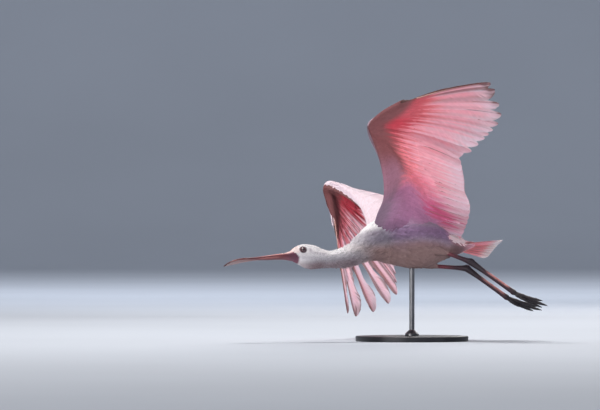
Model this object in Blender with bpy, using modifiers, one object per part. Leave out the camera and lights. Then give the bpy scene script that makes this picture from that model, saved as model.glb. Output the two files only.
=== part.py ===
"""Roseate spoonbill in flight, life size, on a display stand.

The bird is modelled level, flying towards -X with its left side towards -Y, and the whole
bird then banks on the stand. Lengths are in metres and the origin is the centre of the
underside of the base.
"""

import math

import bmesh
import bpy
from mathutils import Matrix, Vector

MM = 0.001
GAP = 0.3 * MM

# How the bird sits on its stand
BANK = math.radians(35)
BODY_HEIGHT = 226 * MM
BASE_RADIUS = 130 * MM
BASE_THICKNESS = 12 * MM
BASE_BEVEL = 2.5 * MM
ROD_RADIUS = 6 * MM
COLLAR_RADIUS = 16 * MM
COLLAR_HEIGHT = 14 * MM
COLLAR_STEP = 0.4
BASE_SIDES = 40
ROD_SIDES = 24

# Stations from the bill's root to the rump: forward, height, half width, half height (mm),
# and how far the head and neck turn upright against the banked body (degrees)
BODY_STATIONS = (
    (307, -35, 12.0, 13.0, 20),
    (296, -34, 15.0, 19.0, 20),
    (278, -34, 18.5, 26.0, 20),
    (257, -39, 19.0, 27.5, 20),
    (236, -43, 17.5, 21.5, 18),
    (214, -45, 16.5, 18.0, 15),
    (180, -41, 19.5, 21.0, 11),
    (146, -28, 23.5, 25.0, 7),
    (117, -11, 31.0, 33.0, 4),
    (74, 6, 47.0, 49.0, 0),
    (34, 4, 53.0, 54.0, 0),
    (-7, -2, 54.0, 57.0, 0),
    (-46, -3, 48.0, 50.0, 0),
    (-81, -6, 36.0, 33.0, 0),
    (-107, -9, 25.0, 19.0, 0),
)
BODY_SIDES = 20
HEAD_SPAN = (0.0, 4.0)
NECK_SPAN = (4.0, 8.3)
TORSO_SPAN = (8.3, 14.0)
HEAD_STEPS = 9
NECK_STEPS = 10
TORSO_STEPS = 14

# Bill: forward, height, half width, thickness of each half (mm)
BILL_STATIONS = (
    (308, -35.5, 11.5, 11.0),
    (322, -36.5, 9.0, 7.5),
    (340, -37.5, 7.6, 5.8),
    (366, -40, 7.0, 4.6),
    (394, -42.5, 8.0, 3.4),
    (414, -45, 12.0, 3.0),
    (431, -47.5, 19.0, 2.8),
    (447, -50.5, 22.5, 2.6),
    (461, -54, 21.0, 2.2),
    (471, -58, 15.0, 1.8),
    (477, -62, 6.5, 1.3),
)
BILL_OUTLINE = ((-1, 0), (-0.93, 0.42), (-0.45, 0.85), (0, 1), (0.45, 0.85), (0.93, 0.42), (1, 0))
BILL_MOUTH = 0.5 * MM
BILL_ROLL = math.radians(20)
NOSTRIL = {"forward": 326, "outward": 4.2, "up": -34.0, "above_mouth": 4.4}
NOSTRIL_SIZE = (9, 1.5, 3.5)
EYE_STATION = 2
EYE_FORWARD = 283
EYE_UP = 9.5
EYE_OUT = 14.6
EYE_RADIUS = 6.2
EYE_LOOKS_FORWARD = 0.28
LID_RADIUS = 5.8
LID_WIDTH = 1.5
LID_OUT = 2.6

# Wings: forward, outward, up (mm) of the joints
PRIMARIES = 10
SECONDARIES = 12
TERTIALS = 5
LAST_FEATHER = PRIMARIES + SECONDARIES + TERTIALS - 1
WRIST_INDEX = PRIMARIES - 0.5
ELBOW_INDEX = PRIMARIES + SECONDARIES - 0.5
WINGS = {
    "left": {
        "side": -1,
        "sweep": 0.05,
        "slots": (0.65, 0.85, 0.95, 1.0, 1.0),
        "shoulder": (55, 36, 22),
        "elbow": (-1, 50, 131),
        "wrist": (84, 116, 242),
        "fingertip": (33, 207, 247),
        "leading_edge": {
            -0.5: (29, 212, 256),
            0: (38, 207, 256),
            5: (73, 160, 256),
            9.5: (93, 123, 244),
            12: (88, 112, 222),
            16: (72, 91, 172),
            19: (67, 73, 125),
            22: (71, 56, 86),
            26: (88, 38, 54),
            28: (98, 26, 30),
            30: (104, 14, 4),
        },
        "tips": {
            0: (-89, 411, 158),
            1: (-100, 402, 146),
            2: (-115, 376, 125),
            3: (-127, 351, 113),
            4: (-128, 322, 107),
            5: (-124, 296, 108),
            7: (-122, 250, 117),
            9: (-113, 190, 124),
            10: (-110, 134, 148),
            12: (-124, 104, 141),
            15: (-134, 79, 122),
            18: (-137, 60, 102),
            21: (-146, 50, 71),
            23: (-138, 42, 41),
            26: (-118, 38, 4),
        },
    },
    "right": {
        "side": 1,
        "sweep": 0.015,
        "slots": (0.42, 0.7, 0.86, 0.9, 1.0),
        "shoulder": (55, 36, 22),
        "elbow": (21, 40, 119),
        "wrist": (114, 111, 238),
        "fingertip": (80, 198, 184),
        "leading_edge": {
            -0.5: (74, 212, 178),
            0: (83, 204, 188),
            2.5: (93, 182, 212),
            5: (106, 160, 228),
            9.5: (124, 114, 243),
            12: (100, 95, 217),
            16: (77, 67, 155),
            19: (74, 57, 122),
            22: (77, 49, 88),
            26: (88, 40, 52),
            28: (98, 26, 30),
            30: (104, 14, 4),
        },
        "tips": {
            0: (7, 401, 76),
            1: (-10, 398, 65),
            2: (-48, 379, 64),
            3: (-81, 354, 71),
            4: (-96, 328, 80),
            5: (-87, 296, 92),
            7: (-68, 243, 104),
            9: (-64, 190, 115),
            10: (-76, 134, 148),
            12: (-100, 108, 144),
            15: (-116, 82, 126),
            18: (-126, 62, 104),
            21: (-140, 50, 72),
            23: (-136, 42, 41),
            26: (-118, 38, 4),
        },
    },
}
DORSAL_THICKNESS = {-0.5: 2, 0: 4, 5: 8, 9.5: 12, 16: 12, 21.5: 15, 26: 22, 28: 20, 30: 8}
VENTRAL_THICKNESS = {-0.5: 2, 0: 4, 5: 7, 9.5: 9, 16: 9.5, 21.5: 13, 26: 24, 28: 22, 30: 8}
CORE_REACH = {-0.5: 60, 0: 44, 2: 30, 5: 26, 9.5: 30, 16: 34, 21.5: 42, 26: 60, 28: 66, 30: 66}
FEATHER_BOW = {0: 0.05, 5: 0.09, 9: 0.13, 10: 0.16, 16: 0.16, 22: 0.13, 26: 0.08}
FEATHER_SWEEP = {0: 1.0, 5: 0.8, 9: 0.7, 10: 0.4, 16: 0.0, 26: 0.0}
HAND_INDICES = (-0.5, 0.6, 2.5, 5.0, 7.5, WRIST_INDEX)
ARM_INDICES = (WRIST_INDEX, 12.0, 14.5, 17.0, 19.5, 21.5, 24.0, 26.0, 28.0, 30.0)
CORE_PROFILE = ((0.10, 0.45), (0.34, 0.80), (0.66, 1.0), (0.84, 0.75))
CORE_BONE_SHARE = 0.66
CORE_BACK_EDGE = 1.9 * MM

# Feathers: widths in mm, shares along the length of the feather or of the covert
VANE_THICKNESS = 0.6 * MM
SHINGLE = 1.7 * MM
SUNK_ROOT = 0.4
SUNK_SHARE = 0.4
OUTER_LIMIT = 0.5
INNER_LIMIT = 1.05
ROOT_FULLNESS = 0.22
BOUNDARY_SHARE = 0.04
PRIMARY_STATIONS = (0.0, 0.16, 0.34, 0.52, 0.64, 0.78, 0.91, 1.0)
PRIMARY_OUTER = {0: 3.5, 9: 12.5}
PRIMARY_INNER = 25.0
SECONDARY_STATIONS = (0.0, 0.24, 0.52, 0.8, 0.94, 1.0)
SECONDARY_OUTER = 15.0
SECONDARY_INNER = 26.0
WRIST_OVERLAP = {"last_primary_inner": 36.0, "first_secondary_outer": 32.0}
SLOT_START = 0.6
POINTED_TIP = {"taper": 0.76, "least": 0.16}
BLUNT_TIP = {"taper": 0.82, "least": 0.32}
COVERT_TIERS = (
    {"from": 0.03, "to": 0.46, "layer": 4.2, "step": 1.7},
    {"from": 0.0, "to": 0.26, "layer": 7.8, "step": 2.8},
)
COVERT_STATIONS = (0.0, 0.45, 0.8, 1.0)
COVERT_WIDTHS = (20.0, 34.0)
COVERT_SHAPE = {"grow": 0.2, "taper": 0.55, "least": 0.25}

# Tail
TAIL_FEATHERS = 12
TAIL_TOP_FEATHER = 5
TAIL_ROOT = (-96, 0, -9)
TAIL_ROOT_WIDTH = 22
TAIL_LENGTH = 122
TAIL_SPREAD = math.radians(17)
TAIL_TURN = math.radians(11)
TAIL_DROP = math.radians(-3)
TAIL_ROUNDING = 0.05
TAIL_ARCH = 0.10
TAIL_ROOT_TAPER = ((12, 0.9, 0.8), (26, 0.75, 0.5), (40, 0.6, 0.22))
TAIL_OVERLAP = 0.95
RECTRIX_STATIONS = (0.0, 0.3, 0.68, 0.92, 1.0)
RECTRIX_SHAPE = {"grow": 0.35, "taper": 0.72, "least": 0.2}
RECTRIX_WIDTH = 26.0
TAIL_COVERTS = (1.0, 3.0, 5.0, 7.0, 9.0, 10.5)
TAIL_COVERT_WIDTH = 34.0
TAIL_COVERT_STEP = 2.0
TAIL_COVERT_REACH = (0.08, 0.62)
TAIL_COVERT_LAYER = 4.4 * MM

# Legs: forward, outward, up (mm), with the radius of the shin and tarsus (mm)
LEGS = {
    "left": {
        "side": -1,
        "knee": (22, 20, -14),
        "feather_end": (-66, 27, -47),
        "ankle": (-125, 18, -66),
        "foot": (-208, 18, -148),
        "toe_tip": (-283, 24, -194),
    },
    "right": {
        "side": 1,
        "knee": (22, 20, -14),
        "feather_end": (-58, 24, -49),
        "ankle": (-127, 14, -62),
        "foot": (-204, 14, -140),
        "toe_tip": (-287, 19, -180),
    },
}
THIGH_RADII = (15, 16, 12, 7.5, 6.5)
SHIN_RADII = (4.8, 5.0, 6.8, 8.4, 7.2, 6.6)
TARSUS_RADII = (6.6, 5.5, 5.4, 5.8)
BALL_RADII = (5.2, 7.0, 5.0)
TOE_SHARES = (0.0, 0.3, 0.55, 0.8, 0.93, 1.0)
TOE_RADII = (4.2, 4.0, 3.6, 3.0, 1.8, 0.6)
TOE_SAG = 3.0
CUFF_LENGTH = 4 * MM
ANKLE_ABOVE = 9 * MM
ANKLE_BELOW = 8 * MM
ANKLE_END = 3 * MM
BALL_LENGTH = 10 * MM
BALL_WIDEST = 4 * MM
TOES_START = 5 * MM
TOES = {
    "inner": (0.82, -0.14, 0.02),
    "middle": (1.00, 0.02, 0.03),
    "outer": (0.88, 0.17, 0.00),
    "hind": (0.46, -0.04, -0.20),
}

PALETTE = {
    "white_plumage": ((0.86, 0.80, 0.77), 0.8, 0.0),
    "pink_plumage": ((0.90, 0.47, 0.45), 0.75, 0.0),
    "bill": ((0.47, 0.20, 0.19), 0.45, 0.0),
    "eye": ((0.05, 0.01, 0.015), 0.08, 0.0),
    "leg": ((0.10, 0.03, 0.05), 0.55, 0.0),
    "stand": ((0.045, 0.045, 0.05), 0.4, 0.6),
}


def clear_scene():
    """Removes every object that the file opens with."""
    for thing in list(bpy.data.objects):
        bpy.data.objects.remove(thing, do_unlink=True)


def new_collection(name, shown=True):
    """A collection under the scene; one that isn't shown holds cutters and loose pieces."""
    made = bpy.data.collections.new(name)
    bpy.context.scene.collection.children.link(made)
    made.hide_render = not shown
    return made


def material(name):
    """The named finish, made once."""
    found = bpy.data.materials.get(name)
    if found:
        return found
    colour, roughness, metallic = PALETTE[name]
    found = bpy.data.materials.new(name)
    found.use_nodes = True
    shader = found.node_tree.nodes["Principled BSDF"]
    shader.inputs["Base Color"].default_value = (*colour, 1)
    shader.inputs["Roughness"].default_value = roughness
    shader.inputs["Metallic"].default_value = metallic
    return found


def add_object(name, mesh, collection, finish=None):
    """An object for the mesh in that collection."""
    made = bpy.data.objects.new(name, mesh)
    collection.objects.link(made)
    if finish:
        mesh.materials.clear()
        mesh.materials.append(material(finish))
    if collection.hide_render:
        made.hide_render = True
        made.display_type = "WIRE"
    return made


def smooth(keyed, at):
    """The value at a place on the curve through the keyed values, straight past its ends."""
    keys = sorted(keyed)
    values = [Vector(keyed[k]) if hasattr(keyed[k], "__len__") else keyed[k] for k in keys]

    def slope(i):
        low, high = max(i - 1, 0), min(i + 1, len(keys) - 1)
        return (values[high] - values[low]) * (1 / (keys[high] - keys[low]))

    if at <= keys[0]:
        return values[0] + (values[1] - values[0]) * ((at - keys[0]) / (keys[1] - keys[0]))
    if at >= keys[-1]:
        return values[-1] + (values[-1] - values[-2]) * ((at - keys[-1]) / (keys[-1] - keys[-2]))
    i = max(k for k in range(len(keys) - 1) if keys[k] <= at)
    span = keys[i + 1] - keys[i]
    t = (at - keys[i]) / span
    return (
        values[i] * (2 * t**3 - 3 * t**2 + 1)
        + slope(i) * (span * (t**3 - 2 * t**2 + t))
        + values[i + 1] * (3 * t**2 - 2 * t**3)
        + slope(i + 1) * (span * (t**3 - t**2))
    )


def loft(rings, name="loft"):
    """A closed mesh through rings of equally many points, capped at both ends."""
    shape = bmesh.new()
    rows = [[shape.verts.new(point) for point in ring] for ring in rings]
    count = len(rows[0])
    for one, two in zip(rows, rows[1:]):
        for i in range(count):
            j = (i + 1) % count
            shape.faces.new((one[i], one[j], two[j]))
            shape.faces.new((one[i], two[j], two[i]))
    for row in (rows[0], rows[-1]):
        cap = shape.faces.new(row)
        bmesh.ops.triangulate(shape, faces=[cap])
    bmesh.ops.recalc_face_normals(shape, faces=shape.faces)
    mesh = bpy.data.meshes.new(name)
    shape.to_mesh(mesh)
    shape.free()
    return mesh


def plate(rows, thickness, name="vane"):
    """A closed thin plate on rows of points, cut into the same triangles on both faces."""
    shape = bmesh.new()
    grid = [[shape.verts.new(point) for point in row] for row in rows]
    for one, two in zip(grid, grid[1:]):
        for c in range(len(one) - 1):
            shape.faces.new((one[c], one[c + 1], two[c + 1]))
            shape.faces.new((one[c], two[c + 1], two[c]))
    shape.normal_update()
    bmesh.ops.solidify(shape, geom=shape.faces[:], thickness=thickness)
    bmesh.ops.triangulate(shape, faces=shape.faces)
    bmesh.ops.recalc_face_normals(shape, faces=shape.faces)
    mesh = bpy.data.meshes.new(name)
    shape.to_mesh(mesh)
    shape.free()
    return mesh


def largest_surface(mesh):
    """Leaves only the mesh's largest closed surface."""
    shape = bmesh.new()
    shape.from_mesh(mesh)
    unseen, groups = set(shape.faces), []
    while unseen:
        group, front = set(), [unseen.pop()]
        while front:
            face = front.pop()
            group.add(face)
            for edge in face.edges:
                for other in edge.link_faces:
                    if other in unseen:
                        unseen.remove(other)
                        front.append(other)
        groups.append(group)
    keep = max(groups, key=lambda g: sum(face.calc_area() for face in g))
    bmesh.ops.delete(shape, geom=[f for f in shape.faces if f not in keep], context="FACES")
    shape.to_mesh(mesh)
    shape.free()


def apply_boolean(target, operation, other, solver="EXACT"):
    """Applies one Boolean of the target with an object or with a whole collection."""
    modifier = target.modifiers.new("Boolean", "BOOLEAN")
    modifier.operation = operation
    modifier.solver = solver
    if isinstance(other, bpy.types.Collection):
        modifier.operand_type = "COLLECTION"
        modifier.collection = other
    else:
        modifier.object = other
    graph = bpy.context.evaluated_depsgraph_get()
    result = bpy.data.meshes.new_from_object(target.evaluated_get(graph))
    target.modifiers.clear()
    target.data = result
    largest_surface(result)


def fuse(core, pieces):
    """Joins a collection's pieces to the core in one union and removes them.

    Many thin vanes cross here at small angles, where the exact solver leaves edges that touch.
    """
    apply_boolean(core, "UNION", pieces, "MANIFOLD")
    for piece in list(pieces.objects):
        bpy.data.objects.remove(piece, do_unlink=True)


def tube(points, radii, name, resolution=2):
    """A tapered tube along points, made as a bevelled curve and closed as a mesh."""
    curve = bpy.data.curves.new(name, "CURVE")
    curve.dimensions = "3D"
    curve.bevel_depth = 1.0
    curve.bevel_resolution = resolution
    curve.use_fill_caps = True
    spline = curve.splines.new("POLY")
    spline.points.add(len(points) - 1)
    for knot, point, radius in zip(spline.points, points, radii):
        knot.co = (*point, 1)
        knot.radius = radius
    guide = bpy.data.objects.new(name, curve)
    bpy.context.scene.collection.objects.link(guide)
    graph = bpy.context.evaluated_depsgraph_get()
    mesh = bpy.data.meshes.new_from_object(guide.evaluated_get(graph))
    bpy.data.objects.remove(guide, do_unlink=True)
    shape = bmesh.new()
    shape.from_mesh(mesh)
    bmesh.ops.remove_doubles(shape, verts=shape.verts, dist=0.00001)
    bmesh.ops.triangulate(shape, faces=shape.faces)
    bmesh.ops.recalc_face_normals(shape, faces=shape.faces)
    shape.to_mesh(mesh)
    shape.free()
    return mesh


def scaled(lengths):
    """The lengths in metres from millimetres."""
    return [length * MM for length in lengths]


def level(forward, outward, up, side=1):
    """A point of the level bird from millimetres forward, outward on one side, and up."""
    return Vector((-forward, side * outward, up)) * MM


def body_ring(station, swell=0.0, shift=0.0):
    """The body's outline at a station, swollen by a distance, moved along the body."""
    keyed = {i: values for i, values in enumerate(BODY_STATIONS)}
    centres = {i: (v[0], 0, v[1]) for i, v in keyed.items()}
    sizes = {i: (v[2], v[3], v[4]) for i, v in keyed.items()}

    def centre(at):
        forward, outward, up = smooth(centres, at)
        return level(forward, outward, up)

    along = (centre(station + 0.05) - centre(station - 0.05)).normalized()
    half_width, half_height, turn = smooth(sizes, station)
    lean = math.radians(turn)
    across = Vector((0, math.cos(lean), math.sin(lean)))
    upward = across.cross(along).normalized()
    if upward.z < 0:
        upward.negate()
    middle = centre(station) + along * shift
    ring = []
    for i in range(BODY_SIDES):
        angle = 2 * math.pi * i / BODY_SIDES
        ring.append(
            middle
            + across * (math.cos(angle) * (half_width * MM + swell))
            + upward * (math.sin(angle) * (half_height * MM + swell))
        )
    return ring


def body_mesh(span, steps, trims=(GAP / 2, -GAP / 2)):
    """The body's surface between two stations, each end trimmed back for its neighbour."""
    start, end = span
    shifts = [trims[0]] + [0.0] * (steps - 1) + [trims[1]]
    stations = [start + (end - start) * i / steps for i in range(steps + 1)]
    return loft([body_ring(at, 0.0, shift) for at, shift in zip(stations, shifts)], "body")


def torso_clearance():
    """The torso swollen by the gap and run on past both ends, to cut its neighbours with."""
    start, end = TORSO_SPAN
    step = (end - start) / TORSO_STEPS
    rings = [body_ring(start + step * i, GAP) for i in range(-2, TORSO_STEPS + 1)]
    rings.append(body_ring(end, GAP, 6 * MM))
    return loft(rings, "torso_clearance")


class Wing:
    """One wing as a surface: feather index from the outermost primary in, share from root to tip."""

    def __init__(self, name):
        shape = WINGS[name]
        self.name = name
        self.side = shape["side"]
        self.sweep = shape["sweep"]
        self.slots = shape["slots"]
        self.shoulder, self.elbow, self.wrist, self.fingertip = (
            self.place(shape[joint]) for joint in ("shoulder", "elbow", "wrist", "fingertip")
        )
        self.leading = {k: self.place(p) for k, p in shape["leading_edge"].items()}
        tips = {k: self.place(p) for k, p in shape["tips"].items()}
        self.hand_tips = {k: p for k, p in tips.items() if k < WRIST_INDEX}
        self.arm_tips = {k: p for k, p in tips.items() if k > WRIST_INDEX}
        self.roots = {
            0: self.fingertip,
            5: self.fingertip.lerp(self.wrist, 0.55),
            WRIST_INDEX: self.wrist,
            16: self.wrist.lerp(self.elbow, 0.53),
            ELBOW_INDEX: self.elbow,
            LAST_FEATHER: self.elbow.lerp(self.shoulder, 0.66),
            LAST_FEATHER + 2: self.shoulder,
        }

    def place(self, point):
        """A point of this wing from millimetres forward, outward and up."""
        return level(*point, self.side)

    def root(self, index):
        """Where the feather of that index grows, on the bones."""
        return smooth(self.roots, index)

    def tip(self, index):
        """Where the feather of that index ends."""
        last, first = PRIMARIES - 1, PRIMARIES
        if index <= last:
            return smooth(self.hand_tips, index)
        if index >= first:
            return smooth(self.arm_tips, index)
        return smooth(self.hand_tips, last).lerp(smooth(self.arm_tips, first), index - last)

    def rough_normal(self, index):
        """The upper side's direction, from the unbent feathers."""
        along = self.tip(index) - self.root(index)
        inward = (self.root(index + 1) + self.tip(index + 1) * 0.6) - (
            self.root(index - 1) + self.tip(index - 1) * 0.6
        )
        return (along.cross(inward) * -self.side).normalized()

    def shaft(self, index, share):
        """A point of the wing's surface, on a feather shaft that bows upwards."""
        root, tip = self.root(index), self.tip(index)
        upward = self.rough_normal(index)
        lead = (tip - root).cross(upward) * -self.side
        bow = upward * (tip - root).length * smooth(FEATHER_BOW, index)
        middle = (root + tip) / 2 + bow + lead * self.sweep * smooth(FEATHER_SWEEP, index)
        return root * (1 - share) ** 2 + middle * (2 * share * (1 - share)) + tip * share**2

    def normal(self, index, share):
        """The upper side's direction at a point of the surface."""
        along = self.shaft(index, share + 0.05) - self.shaft(index, share - 0.05)
        inward = self.shaft(index + 0.4, share) - self.shaft(index - 0.4, share)
        return (along.cross(inward) * -self.side).normalized()

    def vane(self, index, stations, widths, layer, step, columns, bounds):
        """One feather's vane, shingled so that vanes that lie over one another stay apart."""
        rows = []
        low, high = bounds
        for share, (outer, inner) in zip(stations, widths):
            spacing = (self.shaft(index + 0.5, share) - self.shaft(index - 0.5, share)).length
            reach_out = min(outer * MM / spacing, OUTER_LIMIT * step)
            reach_in = min(inner * MM / spacing, INNER_LIMIT * step)
            start = max(index - reach_out, low)
            end = min(index + reach_in, high)
            along = (share - stations[0]) / (stations[-1] - stations[0])
            rise = layer * (SUNK_ROOT + (1 - SUNK_ROOT) * min(1.0, along / SUNK_SHARE))
            row = []
            for c in range(columns):
                place = start + (end - start) * c / (columns - 1)
                lift = rise - SHINGLE * (place - index) / step
                row.append(self.shaft(place, share) + self.normal(place, share) * lift)
            rows.append(row)
        return plate(rows, VANE_THICKNESS, f"vane_{index:.1f}")

    def core_ring(self, index, shift=0.0):
        """The outline across the arm or hand: leading edge, muscle and the feather bases."""
        front = smooth(self.leading, index)
        bone = self.root(index)
        dorsal = smooth(DORSAL_THICKNESS, index) * MM
        ventral = smooth(VENTRAL_THICKNESS, index) * MM
        reach = smooth(CORE_REACH, index) * MM
        length = (self.tip(index) - bone).length
        back = self.shaft(index, reach / length)
        upward = self.normal(min(max(index, 0), LAST_FEATHER), 0.05)
        chord = (back - front).normalized()
        upward = (upward - chord * upward.dot(chord)).normalized()
        across = chord.cross(upward).normalized()
        upper, lower = [], []
        midline = {0.0: front, CORE_BONE_SHARE: bone, 1.0: back}
        for share, fullness in CORE_PROFILE:
            middle = smooth(midline, share)
            upper.append(middle + upward * dorsal * fullness)
            lower.append(middle - upward * ventral * fullness)
        edge = upward * CORE_BACK_EDGE
        ring = [front, *upper, back + edge, back - edge, *reversed(lower)]
        return [point + across * shift for point in ring]

    def core(self, indices, shifts):
        """The fleshy part between the first and last index."""
        return loft([self.core_ring(i, s) for i, s in zip(indices, shifts)], "core")


def vane_widths(stations, outer, inner, taper, least, grow=0.3, notch=None):
    """Outer and inner width at each station: narrow at the root, rounded at the tip.

    A notch is the share of the length past which the vane narrows, and by how much.
    """
    widths = []
    start, end = stations[0], stations[-1]
    for station in stations:
        share = (station - start) / (end - start)
        rise = min(1.0, ROOT_FULLNESS + (1 - ROOT_FULLNESS) * share / grow)
        fall = 1.0
        if share > taper:
            fall = math.sqrt(max(0.0, 1 - ((share - taper) / (1 - taper)) ** 2))
        if notch and share > notch[0]:
            rise *= notch[1]
        full = max(least, rise * fall)
        widths.append((outer * full, inner * full))
    return widths


def add_flight_feathers(wing, first, last, bounds, pieces):
    """Primaries have a ridge of points along the shaft; secondaries and tertials are plain."""
    for index in range(first, last + 1):
        if index < PRIMARIES:
            pointed = index < len(wing.slots)
            shape = POINTED_TIP if pointed else BLUNT_TIP
            notch = (SLOT_START, wing.slots[index]) if pointed else None
            outer = smooth(PRIMARY_OUTER, index)
            at_wrist = index == PRIMARIES - 1
            inner = WRIST_OVERLAP["last_primary_inner"] if at_wrist else PRIMARY_INNER
            widths = vane_widths(PRIMARY_STATIONS, outer, inner, notch=notch, **shape)
            mesh = wing.vane(index, PRIMARY_STATIONS, widths, 0.0, 1.0, 3, bounds)
        else:
            at_wrist = index == PRIMARIES
            outer = WRIST_OVERLAP["first_secondary_outer"] if at_wrist else SECONDARY_OUTER
            widths = vane_widths(SECONDARY_STATIONS, outer, SECONDARY_INNER, **BLUNT_TIP)
            mesh = wing.vane(index, SECONDARY_STATIONS, widths, 0.0, 1.0, 2, bounds)
        add_object(f"{wing.name}_flight_{index}", mesh, pieces)


def add_coverts(wing, first, last, bounds, pieces):
    """Two tiers of coverts over and under the bases of the flight feathers."""
    for tier, facing in [(t, f) for t in COVERT_TIERS for f in (1, -1)]:
        reach = tier["to"] - tier["from"]
        stations = [tier["from"] + reach * share for share in COVERT_STATIONS]
        count = int((last - first) / tier["step"]) + 1
        for i in range(count):
            index = first + (last - first) * (i + 0.4) / count
            widths = vane_widths(stations, *COVERT_WIDTHS, **COVERT_SHAPE)
            layer = facing * tier["layer"] * MM
            mesh = wing.vane(index, stations, widths, layer, tier["step"], 2, bounds)
            add_object(f"{wing.name}_covert_{facing}_{index:.1f}", mesh, pieces)


def make_wing(name, bird, helpers, torso_cutter):
    """The arm and hand of one wing, each with its feathers, parted at the wrist."""
    wing = Wing(name)
    trim = GAP / 2 * wing.side
    hand_mesh = wing.core(HAND_INDICES, [0] * (len(HAND_INDICES) - 1) + [-trim])
    hand = add_object(f"{name}_wing_hand", hand_mesh, bird, "pink_plumage")
    arm_mesh = wing.core(ARM_INDICES, [trim] + [0] * (len(ARM_INDICES) - 1))
    arm = add_object(f"{name}_wing_arm", arm_mesh, bird, "pink_plumage")
    last_hand, first_arm = PRIMARIES - 1, PRIMARIES
    hand_bounds = (-2.0, WRIST_INDEX - BOUNDARY_SHARE)
    arm_bounds = (WRIST_INDEX + BOUNDARY_SHARE, LAST_FEATHER + 1.5)
    add_flight_feathers(wing, 0, last_hand, hand_bounds, helpers)
    add_coverts(wing, 1.0, last_hand, hand_bounds, helpers)
    fuse(hand, helpers)
    add_flight_feathers(wing, first_arm, LAST_FEATHER, arm_bounds, helpers)
    add_coverts(wing, first_arm, LAST_FEATHER - 1, arm_bounds, helpers)
    fuse(arm, helpers)
    apply_boolean(arm, "DIFFERENCE", torso_cutter, "MANIFOLD")
    return hand, arm


def make_head(bird, helpers):
    """The head with a socket and lid on each side, and the two eyes."""
    head = add_object("head", body_mesh(HEAD_SPAN, HEAD_STEPS), bird, "white_plumage")
    _, height, _, _, turn = BODY_STATIONS[EYE_STATION]
    lean = math.radians(turn)
    across = Vector((0, math.cos(lean), math.sin(lean)))
    upward = Vector((0, -math.sin(lean), math.cos(lean)))
    centre = level(EYE_FORWARD, 0, height) + upward * EYE_UP * MM
    eyes = []
    for name, side in (("left", -1), ("right", 1)):
        place = centre + across * side * EYE_OUT * MM
        gaze = across * side + Vector((-EYE_LOOKS_FORWARD, 0, 0))
        turn = gaze.to_track_quat("Z", "Y").to_matrix().to_4x4()
        eye_shape = bmesh.new()
        bmesh.ops.create_uvsphere(
            eye_shape,
            u_segments=12,
            v_segments=7,
            radius=EYE_RADIUS * MM,
            matrix=Matrix.Translation(place) @ turn,
        )
        bmesh.ops.triangulate(eye_shape, faces=eye_shape.faces)
        eye_mesh = bpy.data.meshes.new("eye")
        eye_shape.to_mesh(eye_mesh)
        eye_shape.free()
        eyes.append(add_object(f"{name}_eye", eye_mesh, bird, "eye"))
        bpy.ops.mesh.primitive_torus_add(
            major_segments=14,
            minor_segments=5,
            major_radius=LID_RADIUS * MM,
            minor_radius=LID_WIDTH * MM,
        )
        lid = bpy.context.object
        lid_place = place + gaze.normalized() * LID_OUT * MM
        lid.data.transform(Matrix.Translation(lid_place) @ turn)
        move_to(lid, helpers)
    fuse(head, helpers)
    for eye in eyes:
        socket = eye.copy()
        socket.data = eye.data.copy()
        swell = 1 + GAP / (EYE_RADIUS * MM)
        middle = sum((v.co for v in socket.data.vertices), Vector()) / len(socket.data.vertices)
        socket.data.transform(
            Matrix.Translation(middle) @ Matrix.Scale(swell, 4) @ Matrix.Translation(-middle)
        )
        helpers.objects.link(socket)
        apply_boolean(head, "DIFFERENCE", socket)
        bpy.data.objects.remove(socket, do_unlink=True)
    return [head, *eyes]


def move_to(thing, collection):
    """Puts an object in one collection only."""
    for holder in list(thing.users_collection):
        holder.objects.unlink(thing)
    collection.objects.link(thing)


def bill_half(upper):
    """One half of the bill, flat where the halves meet and keeled along its outside."""
    sign = 1 if upper else -1
    across = Vector((0, math.cos(BILL_ROLL), math.sin(BILL_ROLL)))
    upward = Vector((0, -math.sin(BILL_ROLL), math.cos(BILL_ROLL)))
    rings = []
    for forward, height, half_width, thickness in BILL_STATIONS:
        middle = level(forward, 0, height) + upward * sign * BILL_MOUTH / 2
        rings.append(
            [
                middle + across * x * half_width * MM + upward * sign * y * thickness * MM
                for x, y in BILL_OUTLINE
            ]
        )
    return loft(rings, "bill")


def make_bill(bird, helpers):
    """Upper and lower bill with the line of the mouth between, and a nostril slit on each side."""
    upper = add_object("bill_upper", bill_half(True), bird, "bill")
    lower = add_object("bill_lower", bill_half(False), bird, "bill")
    across = Vector((0, math.cos(BILL_ROLL), math.sin(BILL_ROLL)))
    upward = Vector((0, -math.sin(BILL_ROLL), math.cos(BILL_ROLL)))
    for side in (-1, 1):
        bpy.ops.mesh.primitive_cube_add(size=1)
        slit = bpy.context.object
        middle = (
            level(NOSTRIL["forward"], 0, NOSTRIL["up"])
            + across * side * NOSTRIL["outward"] * MM
            + upward * NOSTRIL["above_mouth"] * MM
        )
        turn = Matrix((Vector((1, 0, 0)), across, upward)).transposed().to_4x4()
        size = Matrix.Diagonal((*scaled(NOSTRIL_SIZE), 1))
        slit.data.transform(Matrix.Translation(middle) @ turn @ size)
        move_to(slit, helpers)
        apply_boolean(upper, "DIFFERENCE", slit)
        bpy.data.objects.remove(slit, do_unlink=True)
    return [upper, lower]


def tail_frame():
    """Across and upward directions of the tail, which turns part of the way upright."""
    return (
        Vector((0, math.cos(TAIL_TURN), math.sin(TAIL_TURN))),
        Vector((0, -math.sin(TAIL_TURN), math.cos(TAIL_TURN))),
    )


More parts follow.
